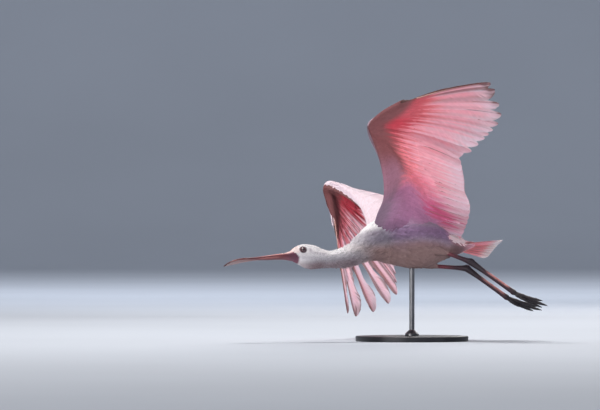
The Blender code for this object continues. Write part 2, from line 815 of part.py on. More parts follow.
def tail_shaft(index, share):
    """A point of the tail's fan, from the leftmost feather to the rightmost."""
    across, upward = tail_frame()
    sweep = (index - (TAIL_FEATHERS - 1) / 2) / ((TAIL_FEATHERS - 1) / 2)
    angle = sweep * TAIL_SPREAD
    root = level(*TAIL_ROOT) + across * sweep * TAIL_ROOT_WIDTH * MM / 2
    length = TAIL_LENGTH * MM * (1 - TAIL_ROUNDING * sweep**2)
    along = Vector((math.cos(angle), 0, 0)) + across * math.sin(angle)
    along -= upward * math.sin(TAIL_DROP)
    return root + (along - upward * TAIL_ARCH * sweep**2) * length * share


def tail_vane(index, start, end, width, layer, step):
    """One tail feather or covert; the middle one lies on top."""
    upward = tail_frame()[1]
    stations = [start + (end - start) * share for share in RECTRIX_STATIONS]
    widths = vane_widths(stations, width / 2, width / 2, **RECTRIX_SHAPE)
    rows = []
    for share, (half, _) in zip(stations, widths):
        spacing = (tail_shaft(index + 0.5, share) - tail_shaft(index - 0.5, share)).length
        reach_side = min(half * MM / spacing, TAIL_OVERLAP * step)
        row = []
        for c in (-1, 1):
            place = index + c * reach_side
            rank = abs(index - TAIL_TOP_FEATHER) - abs(place - TAIL_TOP_FEATHER)
            row.append(tail_shaft(place, share) + upward * (layer - SHINGLE * rank / step))
        rows.append(row)
    return plate(rows, VANE_THICKNESS)


def make_tail(bird, helpers, torso_cutter):
    """The fleshy root of the tail with its feathers and their coverts."""
    end = TORSO_SPAN[1]
    first = body_ring(end, 0.0, GAP / 2)
    middle = sum(first, Vector()) / len(first)
    rings = [first]
    for back, wide, high in TAIL_ROOT_TAPER:
        shift = Vector((back * MM, 0, 0))
        size = Matrix.Diagonal((1, wide, high))
        rings.append([middle + shift + size @ (point - middle) for point in first])
    tail = add_object("tail", loft(rings, "tail"), bird, "pink_plumage")
    for index in range(TAIL_FEATHERS):
        vane = tail_vane(index, 0.0, 1.0, RECTRIX_WIDTH, 0.0, 1.0)
        add_object(f"rectrix_{index}", vane, helpers)
    for facing in (1, -1):
        for index in TAIL_COVERTS:
            layer = facing * TAIL_COVERT_LAYER
            vane = tail_vane(index, *TAIL_COVERT_REACH, TAIL_COVERT_WIDTH, layer, TAIL_COVERT_STEP)
            add_object(f"tail_covert_{facing}_{index}", vane, helpers)
    fuse(tail, helpers)
    apply_boolean(tail, "DIFFERENCE", torso_cutter, "MANIFOLD")
    return [tail]


def make_leg(name, bird, helpers, torso_cutter):
    """Feathered thigh, bare shin with the ankle, tarsus, and the foot with four toes."""
    leg = LEGS[name]
    knee, feather_end, ankle, foot, toe_tip = (
        level(*leg[joint], leg["side"]) for joint in ("knee", "feather_end", "ankle", "foot", "toe_tip")
    )
    down = (ankle - feather_end).normalized()
    along = (foot - ankle).normalized()
    cuff = feather_end - down * CUFF_LENGTH
    thigh_points = [knee, knee.lerp(cuff, 0.5), knee.lerp(cuff, 0.85), cuff, feather_end]
    thigh_mesh = tube(thigh_points, scaled(THIGH_RADII), "thigh", 3)
    thigh = add_object(f"{name}_thigh", thigh_mesh, bird, "white_plumage")
    apply_boolean(thigh, "DIFFERENCE", torso_cutter)
    knob = ankle + along * ANKLE_BELOW
    shin_points = [
        feather_end + down * GAP,
        feather_end.lerp(ankle, 0.6),
        ankle - down * ANKLE_ABOVE,
        ankle,
        knob - along * ANKLE_END,
        knob,
    ]
    shin = add_object(f"{name}_shin", tube(shin_points, scaled(SHIN_RADII), "shin"), bird, "leg")
    start = knob + along * GAP
    end = foot - along * ANKLE_END
    tarsus_points = [start, start.lerp(end, 0.2), start.lerp(end, 0.85), end]
    tarsus_mesh = tube(tarsus_points, scaled(TARSUS_RADII), "tarsus")
    tarsus = add_object(f"{name}_tarsus", tarsus_mesh, bird, "leg")
    return [thigh, shin, tarsus, make_foot(name, end, along, toe_tip, leg["side"], bird, helpers)]


def make_foot(name, end, along, toe_tip, side, bird, helpers):
    """The foot: a ball with four tapered toes that end in claws, trailing together."""
    heel = end + along * GAP
    ball_points = [heel, heel + along * BALL_WIDEST, heel + along * BALL_LENGTH]
    ball = add_object(f"{name}_foot", tube(ball_points, scaled(BALL_RADII), "ball"), bird, "leg")
    start = heel + along * TOES_START
    forward = (toe_tip - start).normalized()
    across = forward.cross(Vector((0, 0, 1))).normalized() * side
    upward = across.cross(forward).normalized()
    if upward.z < 0:
        upward.negate()
    length = (toe_tip - start).length
    for toe, (reach, spread, lift) in TOES.items():
        tip = start + (forward + across * spread + upward * lift) * length * reach
        points = [start]
        for share in TOE_SHARES[1:]:
            sag = upward * TOE_SAG * MM * math.sin(math.pi * share)
            points.append(start.lerp(tip, share) - sag)
        add_object(f"{name}_{toe}", tube(points, scaled(TOE_RADII), toe), helpers)
    fuse(ball, helpers)
    return ball


def make_stand(torso_cutter, stand):
    """A round base and one short rod with a collar, its top shaped to the belly."""
    bpy.ops.mesh.primitive_cylinder_add(
        vertices=BASE_SIDES,
        radius=BASE_RADIUS,
        depth=BASE_THICKNESS,
        location=(0, 0, BASE_THICKNESS / 2),
    )
    base = bpy.context.object
    base.name = "stand_base"
    base.data.materials.append(material("stand"))
    move_to(base, stand)
    rim = base.modifiers.new("Rim", "BEVEL")
    rim.width = BASE_BEVEL
    rim.segments = 2
    rim.limit_method = "ANGLE"
    foot = BASE_THICKNESS + GAP
    profile = (
        (0.0, foot),
        (COLLAR_RADIUS, foot),
        (COLLAR_RADIUS, foot + COLLAR_HEIGHT * COLLAR_STEP),
        (ROD_RADIUS, foot + COLLAR_HEIGHT),
        (ROD_RADIUS, BODY_HEIGHT),
        (0.0, BODY_HEIGHT),
    )
    line = bmesh.new()
    knots = [line.verts.new((x, 0, z)) for x, z in reversed(profile)]
    for one, two in zip(knots, knots[1:]):
        line.edges.new((one, two))
    mesh = bpy.data.meshes.new("rod")
    line.to_mesh(mesh)
    line.free()
    rod = add_object("stand_rod", mesh, stand, "stand")
    turned = rod.modifiers.new("Turned", "SCREW")
    turned.steps = ROD_SIDES
    turned.render_steps = ROD_SIDES
    turned.use_merge_vertices = True
    turned.merge_threshold = 0.00001
    graph = bpy.context.evaluated_depsgraph_get()
    rod.data = bpy.data.meshes.new_from_object(rod.evaluated_get(graph))
    rod.modifiers.clear()
    apply_boolean(rod, "DIFFERENCE", torso_cutter)
    return [base, rod]


def main():
    clear_scene()
    bird = new_collection("roseate_spoonbill")
    stand = new_collection("display_stand")
    helpers = new_collection("loose_pieces", shown=False)
    cutters = new_collection("cutters", shown=False)
    torso_cutter = add_object("torso_cutter", torso_clearance(), cutters)

    made = [add_object("torso", body_mesh(TORSO_SPAN, TORSO_STEPS), bird, "white_plumage")]
    made.append(add_object("neck", body_mesh(NECK_SPAN, NECK_STEPS), bird, "white_plumage"))
    made += make_head(bird, helpers)
    made += make_bill(bird, helpers)
    made += make_tail(bird, helpers, torso_cutter)
    for name in WINGS:
        made += make_wing(name, bird, helpers, torso_cutter)
    for name in LEGS:
        made += make_leg(name, bird, helpers, torso_cutter)

    perch = bpy.data.objects.new("bank", None)
    bird.objects.link(perch)
    for thing in [*made, torso_cutter]:
        thing.parent = perch
    perch.location = (0, 0, BODY_HEIGHT)
    perch.rotation_euler = (-BANK, 0, 0)
    bpy.context.view_layer.update()
    make_stand(torso_cutter, stand)


main()
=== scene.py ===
"""Looks of the roseate spoonbill model: skin, feathers, bill, eyes, legs, stand and studio.

The bird is worked out level, flying towards -X with its left side towards -Y, and every
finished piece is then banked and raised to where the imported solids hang. Lengths are metres.
"""

import logging
import math
from collections.abc import Callable, Sequence
from dataclasses import dataclass, field
from enum import Enum
from typing import Any

import bpy
import numpy as np
from mathutils import Matrix, Vector
from mathutils.bvhtree import BVHTree


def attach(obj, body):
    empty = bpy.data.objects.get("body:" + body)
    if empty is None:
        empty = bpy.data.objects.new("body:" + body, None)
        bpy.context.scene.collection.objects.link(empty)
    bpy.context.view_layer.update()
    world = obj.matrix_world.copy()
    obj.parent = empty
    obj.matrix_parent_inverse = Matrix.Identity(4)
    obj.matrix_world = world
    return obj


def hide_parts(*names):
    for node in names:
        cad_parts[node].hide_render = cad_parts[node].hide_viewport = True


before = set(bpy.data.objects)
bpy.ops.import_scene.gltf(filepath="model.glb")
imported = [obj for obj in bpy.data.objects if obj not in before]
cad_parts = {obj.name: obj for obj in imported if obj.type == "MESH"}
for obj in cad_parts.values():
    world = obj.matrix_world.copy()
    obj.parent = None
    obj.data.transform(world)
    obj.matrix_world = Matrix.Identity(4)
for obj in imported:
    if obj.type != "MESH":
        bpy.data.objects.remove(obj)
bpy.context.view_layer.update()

LOG = logging.getLogger("spoonbill")
Array = np.ndarray
Colour = tuple[float, float, float]

MM = 0.001
BANK = math.radians(35)
BODY_HEIGHT = 226 * MM
MARKINGS = "Markings"
VANE_MAP = "Vane"
BAKE_MAP = "OFBake"
BAKE_PATCH = 0.003


class Face(Enum):
    """Which side of a wing or tail a layer of feathers covers."""

    UPPER = 1
    UNDER = -1


class Slot(Enum):
    """Material slots of the record."""

    WHITE = "plumage_white"
    PINK = "plumage_pink"
    BILL = "bill"
    EYE = "eye"
    LEG = "leg_skin"
    STAND = "stand_steel"


def placed(points: Array) -> Array:
    """Banks level points and raises them to where the bird hangs.

    Args:
        points: Level points, in an array whose last axis is x, y, z.

    Returns:
        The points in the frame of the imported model.
    """
    c, s = math.cos(BANK), math.sin(BANK)
    x, y, z = points[..., 0], points[..., 1], points[..., 2]
    return np.stack([x, y * c + z * s, z * c - y * s + BODY_HEIGHT], axis=-1)


def level(forward: float, outward: float, up: float, side: int = 1) -> Array:
    """A level point from millimetres forward, outward on one side, and up."""
    return np.array([-forward, side * outward, up]) * MM


def unit(vectors: Array) -> Array:
    """The vectors with a length of one."""
    return vectors / np.maximum(np.linalg.norm(vectors, axis=-1, keepdims=True), 1e-12)


def fade(low: float, high: float, at: Array) -> Array:
    """A smooth step from 0 at the low value to 1 at the high one."""
    t = np.clip((np.asarray(at, float) - low) / (high - low), 0, 1)
    return t * t * (3 - 2 * t)


def blend(one: Array, two: Array | Colour, share: Array) -> Array:
    """Mixes two colours by a share of the second.

    Args:
        one: Colours, with red, green and blue on the last axis.
        two: The colour or colours to mix in.
        share: How much of the second colour, one number for each place.

    Returns:
        The mixed colours.
    """
    share = np.asarray(share)[..., None]
    return one * (1 - share) + np.asarray(two) * share


def linear(red: int, green: int, blue: int) -> Colour:
    """A colour for shading, from the eight-bit values that a screen shows."""
    return tuple(
        v / 255 / 12.92 if v / 255 <= 0.04045 else ((v / 255 + 0.055) / 1.055) ** 2.4
        for v in (red, green, blue)
    )


class Keyed:
    """Values keyed by place and joined by a smooth curve, straight past its ends."""

    def __init__(self, keyed: dict[float, Any]) -> None:
        """Sorts the keys and works out the slope at each.

        Args:
            keyed: A number or a point for each place.
        """
        self.keys = np.array(sorted(keyed), float)
        self.values = np.array([np.atleast_1d(keyed[k]) for k in sorted(keyed)], float)
        order = np.arange(len(self.keys))
        low, high = np.maximum(order - 1, 0), np.minimum(order + 1, len(order) - 1)
        rise = self.values[high] - self.values[low]
        self.slopes = rise / (self.keys[high] - self.keys[low])[:, None]

    def __call__(self, at: Array | float) -> Array:
        """The values at some places.

        Args:
            at: Places, in an array of any shape.

        Returns:
            An array of that shape, with one more axis where the values are points.
        """
        places = np.asarray(at, float)
        flat = places.ravel()
        inside = np.clip(flat, self.keys[0], self.keys[-1])
        i = np.clip(np.searchsorted(self.keys, inside, side="right") - 1, 0, len(self.keys) - 2)
        span = self.keys[i + 1] - self.keys[i]
        t = ((inside - self.keys[i]) / span)[:, None]
        wide = span[:, None]
        found = (
            self.values[i] * (2 * t**3 - 3 * t**2 + 1)
            + self.slopes[i] * wide * (t**3 - 2 * t**2 + t)
            + self.values[i + 1] * (3 * t**2 - 2 * t**3)
            + self.slopes[i + 1] * wide * (t**3 - t**2)
        )
        past = (flat - inside)[:, None]
        found += np.where(past < 0, self.slopes[0] * past, self.slopes[-1] * past)
        if self.values.shape[1] == 1:
            return found[:, 0].reshape(places.shape)
        return found.reshape(*places.shape, -1)


class Sheet:
    """A surface known on a grid of two parameters, read off at any place between."""

    def __init__(self, points: Array, first: Array, second: Array, outward: Array) -> None:
        """Works out the surface's normals and scales.

        Args:
            points: Level points, over the first and then the second parameter.
            first: Evenly spaced values across the lie of the feathers.
            second: Evenly spaced values along the lie of the feathers.
            outward: Rough outward directions, one for each point.
        """
        self.starts = first[0], second[0]
        self.steps = first[1] - first[0], second[1] - second[0]
        self.points = points
        across = np.gradient(points, self.steps[0], axis=0)
        along = np.gradient(points, self.steps[1], axis=1)
        normals = unit(np.cross(across, along))
        normals *= np.sign(np.sum(normals * outward, axis=-1, keepdims=True))
        self.normals = normals
        self.across = np.linalg.norm(across, axis=-1)[..., None]
        self.along = np.linalg.norm(along, axis=-1)[..., None]

    def read(self, grid: Array, first: Array, second: Array, straight: bool = False) -> Array:
        """Values of one of the sheet's grids.

        Args:
            grid: The grid, such as the points or the normals.
            first: Places across the lie.
            second: Places along the lie.
            straight: Whether the values run on straight past the edges of the grid.

        Returns:
            One row of values for each place.
        """
        rows, columns = grid.shape[:2]
        a = (np.asarray(first) - self.starts[0]) / self.steps[0]
        b = (np.asarray(second) - self.starts[1]) / self.steps[1]
        i = np.clip(np.floor(a).astype(int), 0, rows - 2)
        j = np.clip(np.floor(b).astype(int), 0, columns - 2)
        u, v = (a - i)[..., None], (b - j)[..., None]
        if not straight:
            u, v = np.clip(u, 0, 1), np.clip(v, 0, 1)
        return (grid[i, j] * (1 - u) + grid[i + 1, j] * u) * (1 - v) + (
            grid[i, j + 1] * (1 - u) + grid[i + 1, j + 1] * u
        ) * v

    def point(self, first: Array, second: Array) -> Array:
        """Points of the surface."""
        return self.read(self.points, first, second, straight=True)

    def normal(self, first: Array, second: Array) -> Array:
        """Outward directions of the surface."""
        return unit(self.read(self.normals, first, second))

    def scale(self, first: Array, second: Array) -> tuple[Array, Array]:
        """Metres for each unit across and along the lie."""
        return (
            self.read(self.across, first, second)[..., 0],
            self.read(self.along, first, second)[..., 0],
        )


class Shade:
    """One value in a finish's node tree, for sums written as plain expressions."""

    def __init__(self, tree: "Finish", socket: bpy.types.NodeSocket) -> None:
        """Wraps an output socket of the finish's tree."""
        self.tree = tree
        self.socket = socket

    def _sum(self, operation: str, one: Any, two: Any) -> "Shade":
        """Adds a Math node to the tree."""
        return self.tree.node("Math", {"operation": operation}, {0: one, 1: two})

    def __add__(self, other: Any) -> "Shade":
        """The sum."""
        return self._sum("ADD", self, other)

    def __sub__(self, other: Any) -> "Shade":
        """The difference."""
        return self._sum("SUBTRACT", self, other)

    def __rsub__(self, other: Any) -> "Shade":
        """The difference, the other way round."""
        return self._sum("SUBTRACT", other, self)

    def __mul__(self, other: Any) -> "Shade":
        """The product."""
        return self._sum("MULTIPLY", self, other)

    __radd__ = __add__
    __rmul__ = __mul__


@dataclass(frozen=True)
class Finish:
    """A surface finish; each kind of finish adds its own nodes."""

    title: str
    roughness: float = 0.6

    def node(self, kind: str, settings: dict[str, Any], inputs: dict[Any, Any]) -> Shade:
        """Adds one node to the tree.

        Args:
            kind: The node's type, without its prefix.
            settings: Properties, set before the sockets; "stops" fills a colour ramp.
            inputs: A value or another node's output for each named or numbered socket.

        Returns:
            The node's first output that is in use.
        """
        tree = bpy.data.materials[self.title].node_tree
        made = tree.nodes.new(f"ShaderNode{kind}")
        for name, value in settings.items():
            if name != "stops":
                setattr(made, name, value)
                continue
            ramp = made.color_ramp.elements
            while len(ramp) < len(value):
                ramp.new(0.5)
            for element, (place, colour) in zip(ramp, value):
                element.position = place
                element.color = (*colour, 1)
        for name, value in inputs.items():
            if isinstance(value, Shade):
                tree.links.new(value.socket, made.inputs[name])
            else:
                made.inputs[name].default_value = value
        return Shade(self, next(out for out in made.outputs if out.enabled))

    def mixed(self, share: Any, one: Any, two: Any, blend_type: str = "MIX") -> Shade:
        """Mixes two colours by a share of the second."""
        settings = {"data_type": "RGBA", "blend_type": blend_type}
        return self.node("Mix", settings, {0: share, 6: one, 7: two})

    def noise(self, place: Any, scale: float, detail: float = 3.0) -> Shade:
        """A soft noise on some coordinates."""
        inputs = {"Vector": place, "Scale": scale, "Detail": detail}
        return self.node("TexNoise", {}, inputs)

    def here(self) -> Shade:
        """The place on the object, in metres."""
        made = self.node("TexCoord", {}, {})
        return Shade(self, made.socket.node.outputs["Object"])

    def vane(self, across: float, along: float) -> Shade:
        """The place on a feather or scale, from its own map, stretched each way."""
        place = self.node("UVMap", {"uv_map": VANE_MAP}, {})
        return self.node("Mapping", {}, {"Vector": place, "Scale": (across, along, 1)})

    def marking(self) -> Shade:
        """The colour that the piece's mesh carries."""
        return self.node("Attribute", {"attribute_name": MARKINGS}, {})

    def bump(self, height: Shade, strength: float, distance: float) -> Shade:
        """A bumped normal."""
        inputs = {"Height": height, "Strength": strength, "Distance": distance}
        return self.node("Bump", {}, inputs)

    def dress(self) -> dict[str, Any]:
        """Adds the finish's nodes and gives what goes into the shader's sockets."""
        return {}

    def material(self) -> bpy.types.Material:
        """The finish as a material, made once."""
        found = bpy.data.materials.get(self.title)
        if found:
            return found
        found = bpy.data.materials.new(self.title)
        found.use_nodes = True
        shader = found.node_tree.nodes["Principled BSDF"]
        shader.inputs["Roughness"].default_value = self.roughness
        for name, value in self.dress().items():
            if isinstance(value, Shade):
                found.node_tree.links.new(value.socket, shader.inputs[name])
            else:
                shader.inputs[name].default_value = value
        return found


@dataclass(frozen=True)
class VaneFinish(Finish):
    """Feather vanes: fine barbs that slant off the shaft, with soft streaks along them."""

    barbs: float = 900.0
    streaks: float = 0.16
    soft: float = 0.12

    def dress(self) -> dict[str, Any]:
        """Barbs in the bump, streaks and flecks in the colour."""
        barbs = self.noise(self.vane(60, self.barbs), 1.0, 2.0)
        streaks = self.noise(self.vane(25, 260), 1.0, 3.0)
        mottle = self.noise(self.here(), 90.0, 2.0)
        dim = self.node(
            "MapRange",
            {},
            {"Value": streaks + mottle * 0.5, 1: 0.45, 2: 1.05, 3: 1 - self.streaks, 4: 1.0},
        )
        tone = self.node("CombineColor", {}, {0: dim, 1: dim, 2: dim})
        colour = self.mixed(1.0, self.marking(), tone, "MULTIPLY")
        return {
            "Base Color": colour,
            "Normal": self.bump(barbs + streaks * 0.6, 0.35, 0.0006),
            "Subsurface Weight": self.soft,
            "Subsurface Radius": (0.004, 0.002, 0.0015),
            "Subsurface Scale": 1.0,
            "Specular IOR Level": 0.25,
        }


@dataclass(frozen=True)
class SkinFinish(Finish):
    """Skin: marked like the feathers over it, wrinkled where it is bare."""

    def dress(self) -> dict[str, Any]:
        """Fine wrinkles and a mottled colour."""
        place = self.here()
        fine = self.noise(place, 900.0, 4.0)
        broad = self.noise(place, 160.0, 3.0)
        dim = self.node("MapRange", {}, {"Value": broad, 1: 0.3, 2: 0.7, 3: 0.86, 4: 1.04})
        tone = self.node("CombineColor", {}, {0: dim, 1: dim, 2: dim})
        colour = self.mixed(1.0, self.marking(), tone, "MULTIPLY")
        return {
            "Base Color": colour,
            "Normal": self.bump(fine + broad, 0.4, 0.0006),
            "Subsurface Weight": 0.08,
            "Subsurface Radius": (0.003, 0.0012, 0.0008),
            "Subsurface Scale": 1.0,
        }


@dataclass(frozen=True)
class HornFinish(Finish):
    """Horn of the bill and claws: growth lines along it and a dull gloss."""

    lines: float = 260.0
    gloss: float = 0.25

    def dress(self) -> dict[str, Any]:
        """Growth lines and pits in the bump and the colour."""
        place = self.here()
        lines = self.noise(self.node("Mapping", {}, {"Vector": place, "Scale": (0.18, 1, 1)}), self.lines, 4.0)
        pits = self.noise(place, 700.0, 3.0)
        dim = self.node("MapRange", {}, {"Value": lines, 1: 0.3, 2: 0.7, 3: 0.72, 4: 1.12})
        tone = self.node("CombineColor", {}, {0: dim, 1: dim, 2: dim})
        rough = self.node("MapRange", {}, {"Value": pits, 1: 0.3, 2: 0.7, 3: 0.34, 4: 0.56})
        return {
            "Base Color": self.mixed(1.0, self.marking(), tone, "MULTIPLY"),
            "Roughness": rough,
            "Normal": self.bump(lines + pits * 0.5, 0.35, 0.0008),
            "Coat Weight": self.gloss,
            "Coat Roughness": 0.35,
        }


@dataclass(frozen=True)
class ScaleFinish(Finish):
    """Scaled skin of the legs and toes."""

    def dress(self) -> dict[str, Any]:
        """Small plates with darker joints between them."""
        place = self.here()
        plates = self.node(
            "TexVoronoi",
            {"feature": "DISTANCE_TO_EDGE"},
            {"Vector": place, "Scale": 420.0},
        )
        worn = self.noise(place, 120.0, 3.0)
        raised = self.node("MapRange", {}, {"Value": plates, 1: 0.0, 2: 0.12, 3: 0.0, 4: 1.0})
        dim = self.node("MapRange", {}, {"Value": raised * 0.5 + worn, 1: 0.3, 2: 1.2, 3: 0.55, 4: 1.15})
        tone = self.node("CombineColor", {}, {0: dim, 1: dim, 2: dim})
        return {
            "Base Color": self.mixed(1.0, self.marking(), tone, "MULTIPLY"),
            "Normal": self.bump(raised + worn * 0.3, 0.5, 0.0005),
            "Coat Weight": 0.15,
            "Coat Roughness": 0.3,
        }


@dataclass(frozen=True)
class EyeFinish(Finish):
    """A wet eye in the colours that its mesh carries."""

    def dress(self) -> dict[str, Any]:
        """Faint rays in the iris under a clear coat."""
        fine = self.noise(self.here(), 1500.0, 2.0)
        dim = self.node("MapRange", {}, {"Value": fine, 1: 0.3, 2: 0.7, 3: 0.7, 4: 1.2})
        tone = self.node("CombineColor", {}, {0: dim, 1: dim, 2: dim})
        return {
            "Base Color": self.mixed(1.0, self.marking(), tone, "MULTIPLY"),
            "Coat Weight": 1.0,
            "Coat Roughness": 0.02,
            "Specular IOR Level": 0.6,
        }


@dataclass(frozen=True)
class PaintFinish(Finish):
    """Satin paint on steel: a fine orange-peel texture with faint dust and rubbed places."""

    colour: Colour = (0.03, 0.03, 0.035)
    metallic: float = 0.3
    grain: float = 500.0

    def dress(self) -> dict[str, Any]:
        """Grain in the bump, rubbed places in the roughness and colour."""
        place = self.here()
        grain = self.noise(place, self.grain, 2.0)
        rubbed = self.noise(place, 30.0, 4.0)
        light = tuple(min(1.0, c * 1.7 + 0.01) for c in self.colour)
        share = self.node("MapRange", {}, {"Value": rubbed, 1: 0.42, 2: 0.75, 3: 0.0, 4: 0.6})
        rough = self.node(
            "MapRange",
            {},
            {"Value": rubbed + grain * 0.3, 1: 0.4, 2: 0.9, 3: self.roughness - 0.1, 4: self.roughness + 0.12},
        )
        return {
            "Base Color": self.mixed(share, (*self.colour, 1), (*light, 1)),
            "Roughness": rough,
            "Metallic": self.metallic,
            "Normal": self.bump(grain, 0.2, 0.0003),
        }


@dataclass(frozen=True)
class FloorFinish(Finish):
    """Matt painted board: fine grain with barely seen mottling."""

    colour: Colour = (0.5, 0.52, 0.56)

    def dress(self) -> dict[str, Any]:
        """Grain in the bump and a faint change of tone."""
        place = self.here()
        grain = self.noise(place, 220.0, 2.0)
        broad = self.noise(place, 0.9, 2.0)
        share = self.node("MapRange", {}, {"Value": broad, 1: 0.3, 2: 0.7, 3: 0.0, 4: 1.0})
        dark = tuple(c * 0.95 for c in self.colour)
        return {
            "Base Color": self.mixed(share, (*self.colour, 1), (*dark, 1)),
            "Normal": self.bump(grain, 0.1, 0.0004),
        }


FLIGHT_FINISH = VaneFinish("flight_feather_vane", 0.62, barbs=1400.0, streaks=0.2, soft=0.1)
COAT_FINISH = VaneFinish("body_feather_vane", 0.78, barbs=2200.0, streaks=0.14, soft=0.1)
SHAFT_FINISH = HornFinish("feather_shaft", 0.45, gloss=0.15)
SKIN_FINISH = SkinFinish("bird_skin", 0.7)
BILL_FINISH = HornFinish("bill_horn", 0.42)
CLAW_FINISH = HornFinish("claw_horn", 0.4, gloss=0.4)
LEG_FINISH = ScaleFinish("scaled_leg", 0.5)
EYE_FINISH = EyeFinish("wet_eye", 0.12)
STAND_FINISH = PaintFinish("satin_stand_paint", 0.42)
ROD_FINISH = PaintFinish("brushed_rod_steel", 0.34, colour=(0.19, 0.19, 0.2), metallic=0.85)
FLOOR_FINISH = FloorFinish("pale_studio_floor", 0.85, colour=(0.46, 0.49, 0.55))


@dataclass
class MeshParts:
    """Vertices, faces, colours and maps of many small pieces that end up as one mesh."""

    points: list[Array] = field(default_factory=list)
    faces: list[Array] = field(default_factory=list)
    colours: list[Array] = field(default_factory=list)
    vanes: list[Array] = field(default_factory=list)
    bakes: list[Array] = field(default_factory=list)
    count: int = 0

    def add(
        self,
        points: Array,
        faces: Array,
        colours: Array,
        vanes: Array | None = None,
        bakes: Array | None = None,
    ) -> None:
        """Adds copies of one pattern.

        Args:
            points: Level points, over the copies and then the pattern's vertices.
            faces: The pattern's four-sided faces, as vertex numbers.
            colours: A colour for each point.
            vanes: Each point's place on its feather, across and along, in metres.
            bakes: Each point's place on the map for baking.
        """
        copies, each = points.shape[:2]
        offsets = self.count + each * np.arange(copies)
        self.points.append(points.reshape(-1, 3))
        self.faces.append((faces[None] + offsets[:, None, None]).reshape(-1, faces.shape[1]))
        self.colours.append(np.broadcast_to(colours, points.shape).reshape(-1, 3))
        blank = np.zeros((copies, each, 2))
        self.vanes.append((blank if vanes is None else vanes).reshape(-1, 2))
        self.bakes.append((blank if bakes is None else bakes).reshape(-1, 2))
        self.count += copies * each

    def build(self, name: str, finish: Finish, crease: float = 50.0) -> bpy.types.Object:
        """Makes the one mesh.

        Args:
            name: The piece's name.
            finish: What the piece is finished in.
            crease: The angle in degrees past which an edge shows.

        Returns:
            The finished piece, banked, at the origin.
        """
        points = placed(np.concatenate(self.points))
        faces = np.concatenate(self.faces)
        mesh = bpy.data.meshes.new(name)
        mesh.vertices.add(len(points))
        mesh.vertices.foreach_set("co", points.ravel())
        mesh.loops.add(faces.size)
        mesh.loops.foreach_set("vertex_index", faces.ravel())
        mesh.polygons.add(len(faces))
        mesh.polygons.foreach_set("loop_start", np.arange(len(faces)) * faces.shape[1])
        mesh.update()
        mesh.validate()
        paint(mesh, np.concatenate(self.colours))
        for title, values in ((VANE_MAP, self.vanes), (BAKE_MAP, self.bakes)):
            layer = mesh.uv_layers.new(name=title)
            layer.data.foreach_set("uv", np.concatenate(values)[faces.ravel()].ravel())
        mesh.polygons.foreach_set("use_smooth", np.ones(len(faces), bool))
        mesh.set_sharp_from_angle(angle=math.radians(crease))
        mesh.materials.append(finish.material())
        made = bpy.data.objects.new(name, mesh)
        bpy.context.scene.collection.objects.link(made)
        return made


def paint(mesh: bpy.types.Mesh, colours: Array) -> None:
    """Gives a mesh its markings.

    Args:
        mesh: The mesh.
        colours: Red, green and blue for each vertex.
    """
    layer = mesh.color_attributes.new(name=MARKINGS, type="FLOAT_COLOR", domain="POINT")
    full = np.concatenate([np.clip(colours, 0, 1), np.ones((len(colours), 1))], axis=1)
    layer.data.foreach_set("color", full.ravel().astype(np.float32))


def coordinates(mesh: bpy.types.Mesh) -> Array:
    """The mesh's vertices as an array."""
    found = np.empty(len(mesh.vertices) * 3)
    mesh.vertices.foreach_get("co", found)
    return found.reshape(-1, 3)


def deselect() -> None:
    """Leaves nothing selected, as an operator acts on all that is."""
    if bpy.context.mode != "OBJECT":
        bpy.ops.object.mode_set(mode="OBJECT")
    bpy.ops.object.select_all(action="DESELECT")


def apply_modifier(made: bpy.types.Object, kind: str, **settings: Any) -> None:
    """Adds a modifier with its settings and applies it.

    Args:
        made: The object.
        kind: The modifier's type.
        settings: Its properties.
    """
    deselect()
    made.select_set(True)
    bpy.context.view_layer.objects.active = made
    modifier = made.modifiers.new(kind.title(), kind)
    for name, value in settings.items():
        setattr(modifier, name, value)
    bpy.ops.object.modifier_apply(modifier=modifier.name)


class Pattern:
    """A vane modelled once as a closed plate: x across from -1 to 1, y along from 0 to 1."""

    def __init__(self, columns: int, outline: dict[float, float], fray: float = 0.0) -> None:
        """Models the plate from a grid whose rows are moved and narrowed to the outline.

        Args:
            columns: Strips across the vane.
            outline: The half width at each row, for its place along the vane.
            fray: How far every other barb stands out at the tip.
        """
        deselect()
        rows = sorted(outline)
        bpy.ops.mesh.primitive_grid_add(
            x_subdivisions=columns,
            y_subdivisions=len(rows) - 1,
            size=2,
        )
        plate = bpy.context.object
        old = np.round((coordinates(plate.data)[:, 1] + 1) / 2 * (len(rows) - 1)).astype(int)
        bpy.ops.object.mode_set(mode="EDIT")
        bpy.ops.mesh.select_mode(type="VERT")
        for number, along in enumerate(rows):
            bpy.ops.mesh.select_all(action="DESELECT")
            bpy.ops.object.mode_set(mode="OBJECT")
            for vertex in plate.data.vertices:
                vertex.select = bool(old[vertex.index] == number)
            bpy.ops.object.mode_set(mode="EDIT")
            lift = along - (2 * number / (len(rows) - 1) - 1)
            bpy.ops.transform.resize(value=(outline[along], 1, 1))
            bpy.ops.transform.translate(value=(0, lift, 0))
        bpy.ops.object.mode_set(mode="OBJECT")
        points = coordinates(plate.data)
        column = np.round((points[:, 0] / outline[rows[-1]] + 1) / 2 * columns)
        points[:, 1] += (old == len(rows) - 1) * np.where(column % 2 == 1, fray, -fray * 0.6)
        plate.data.vertices.foreach_set("co", points.ravel())
        apply_modifier(plate, "SOLIDIFY", thickness=0.2, offset=0.0, use_even_offset=False)
        points = coordinates(plate.data)
        self.x = points[:, 0]
        self.along = points[:, 1]
        self.face = np.sign(points[:, 2])
        self.faces = np.array([tuple(p.vertices) for p in plate.data.polygons])
        bpy.data.objects.remove(plate, do_unlink=True)


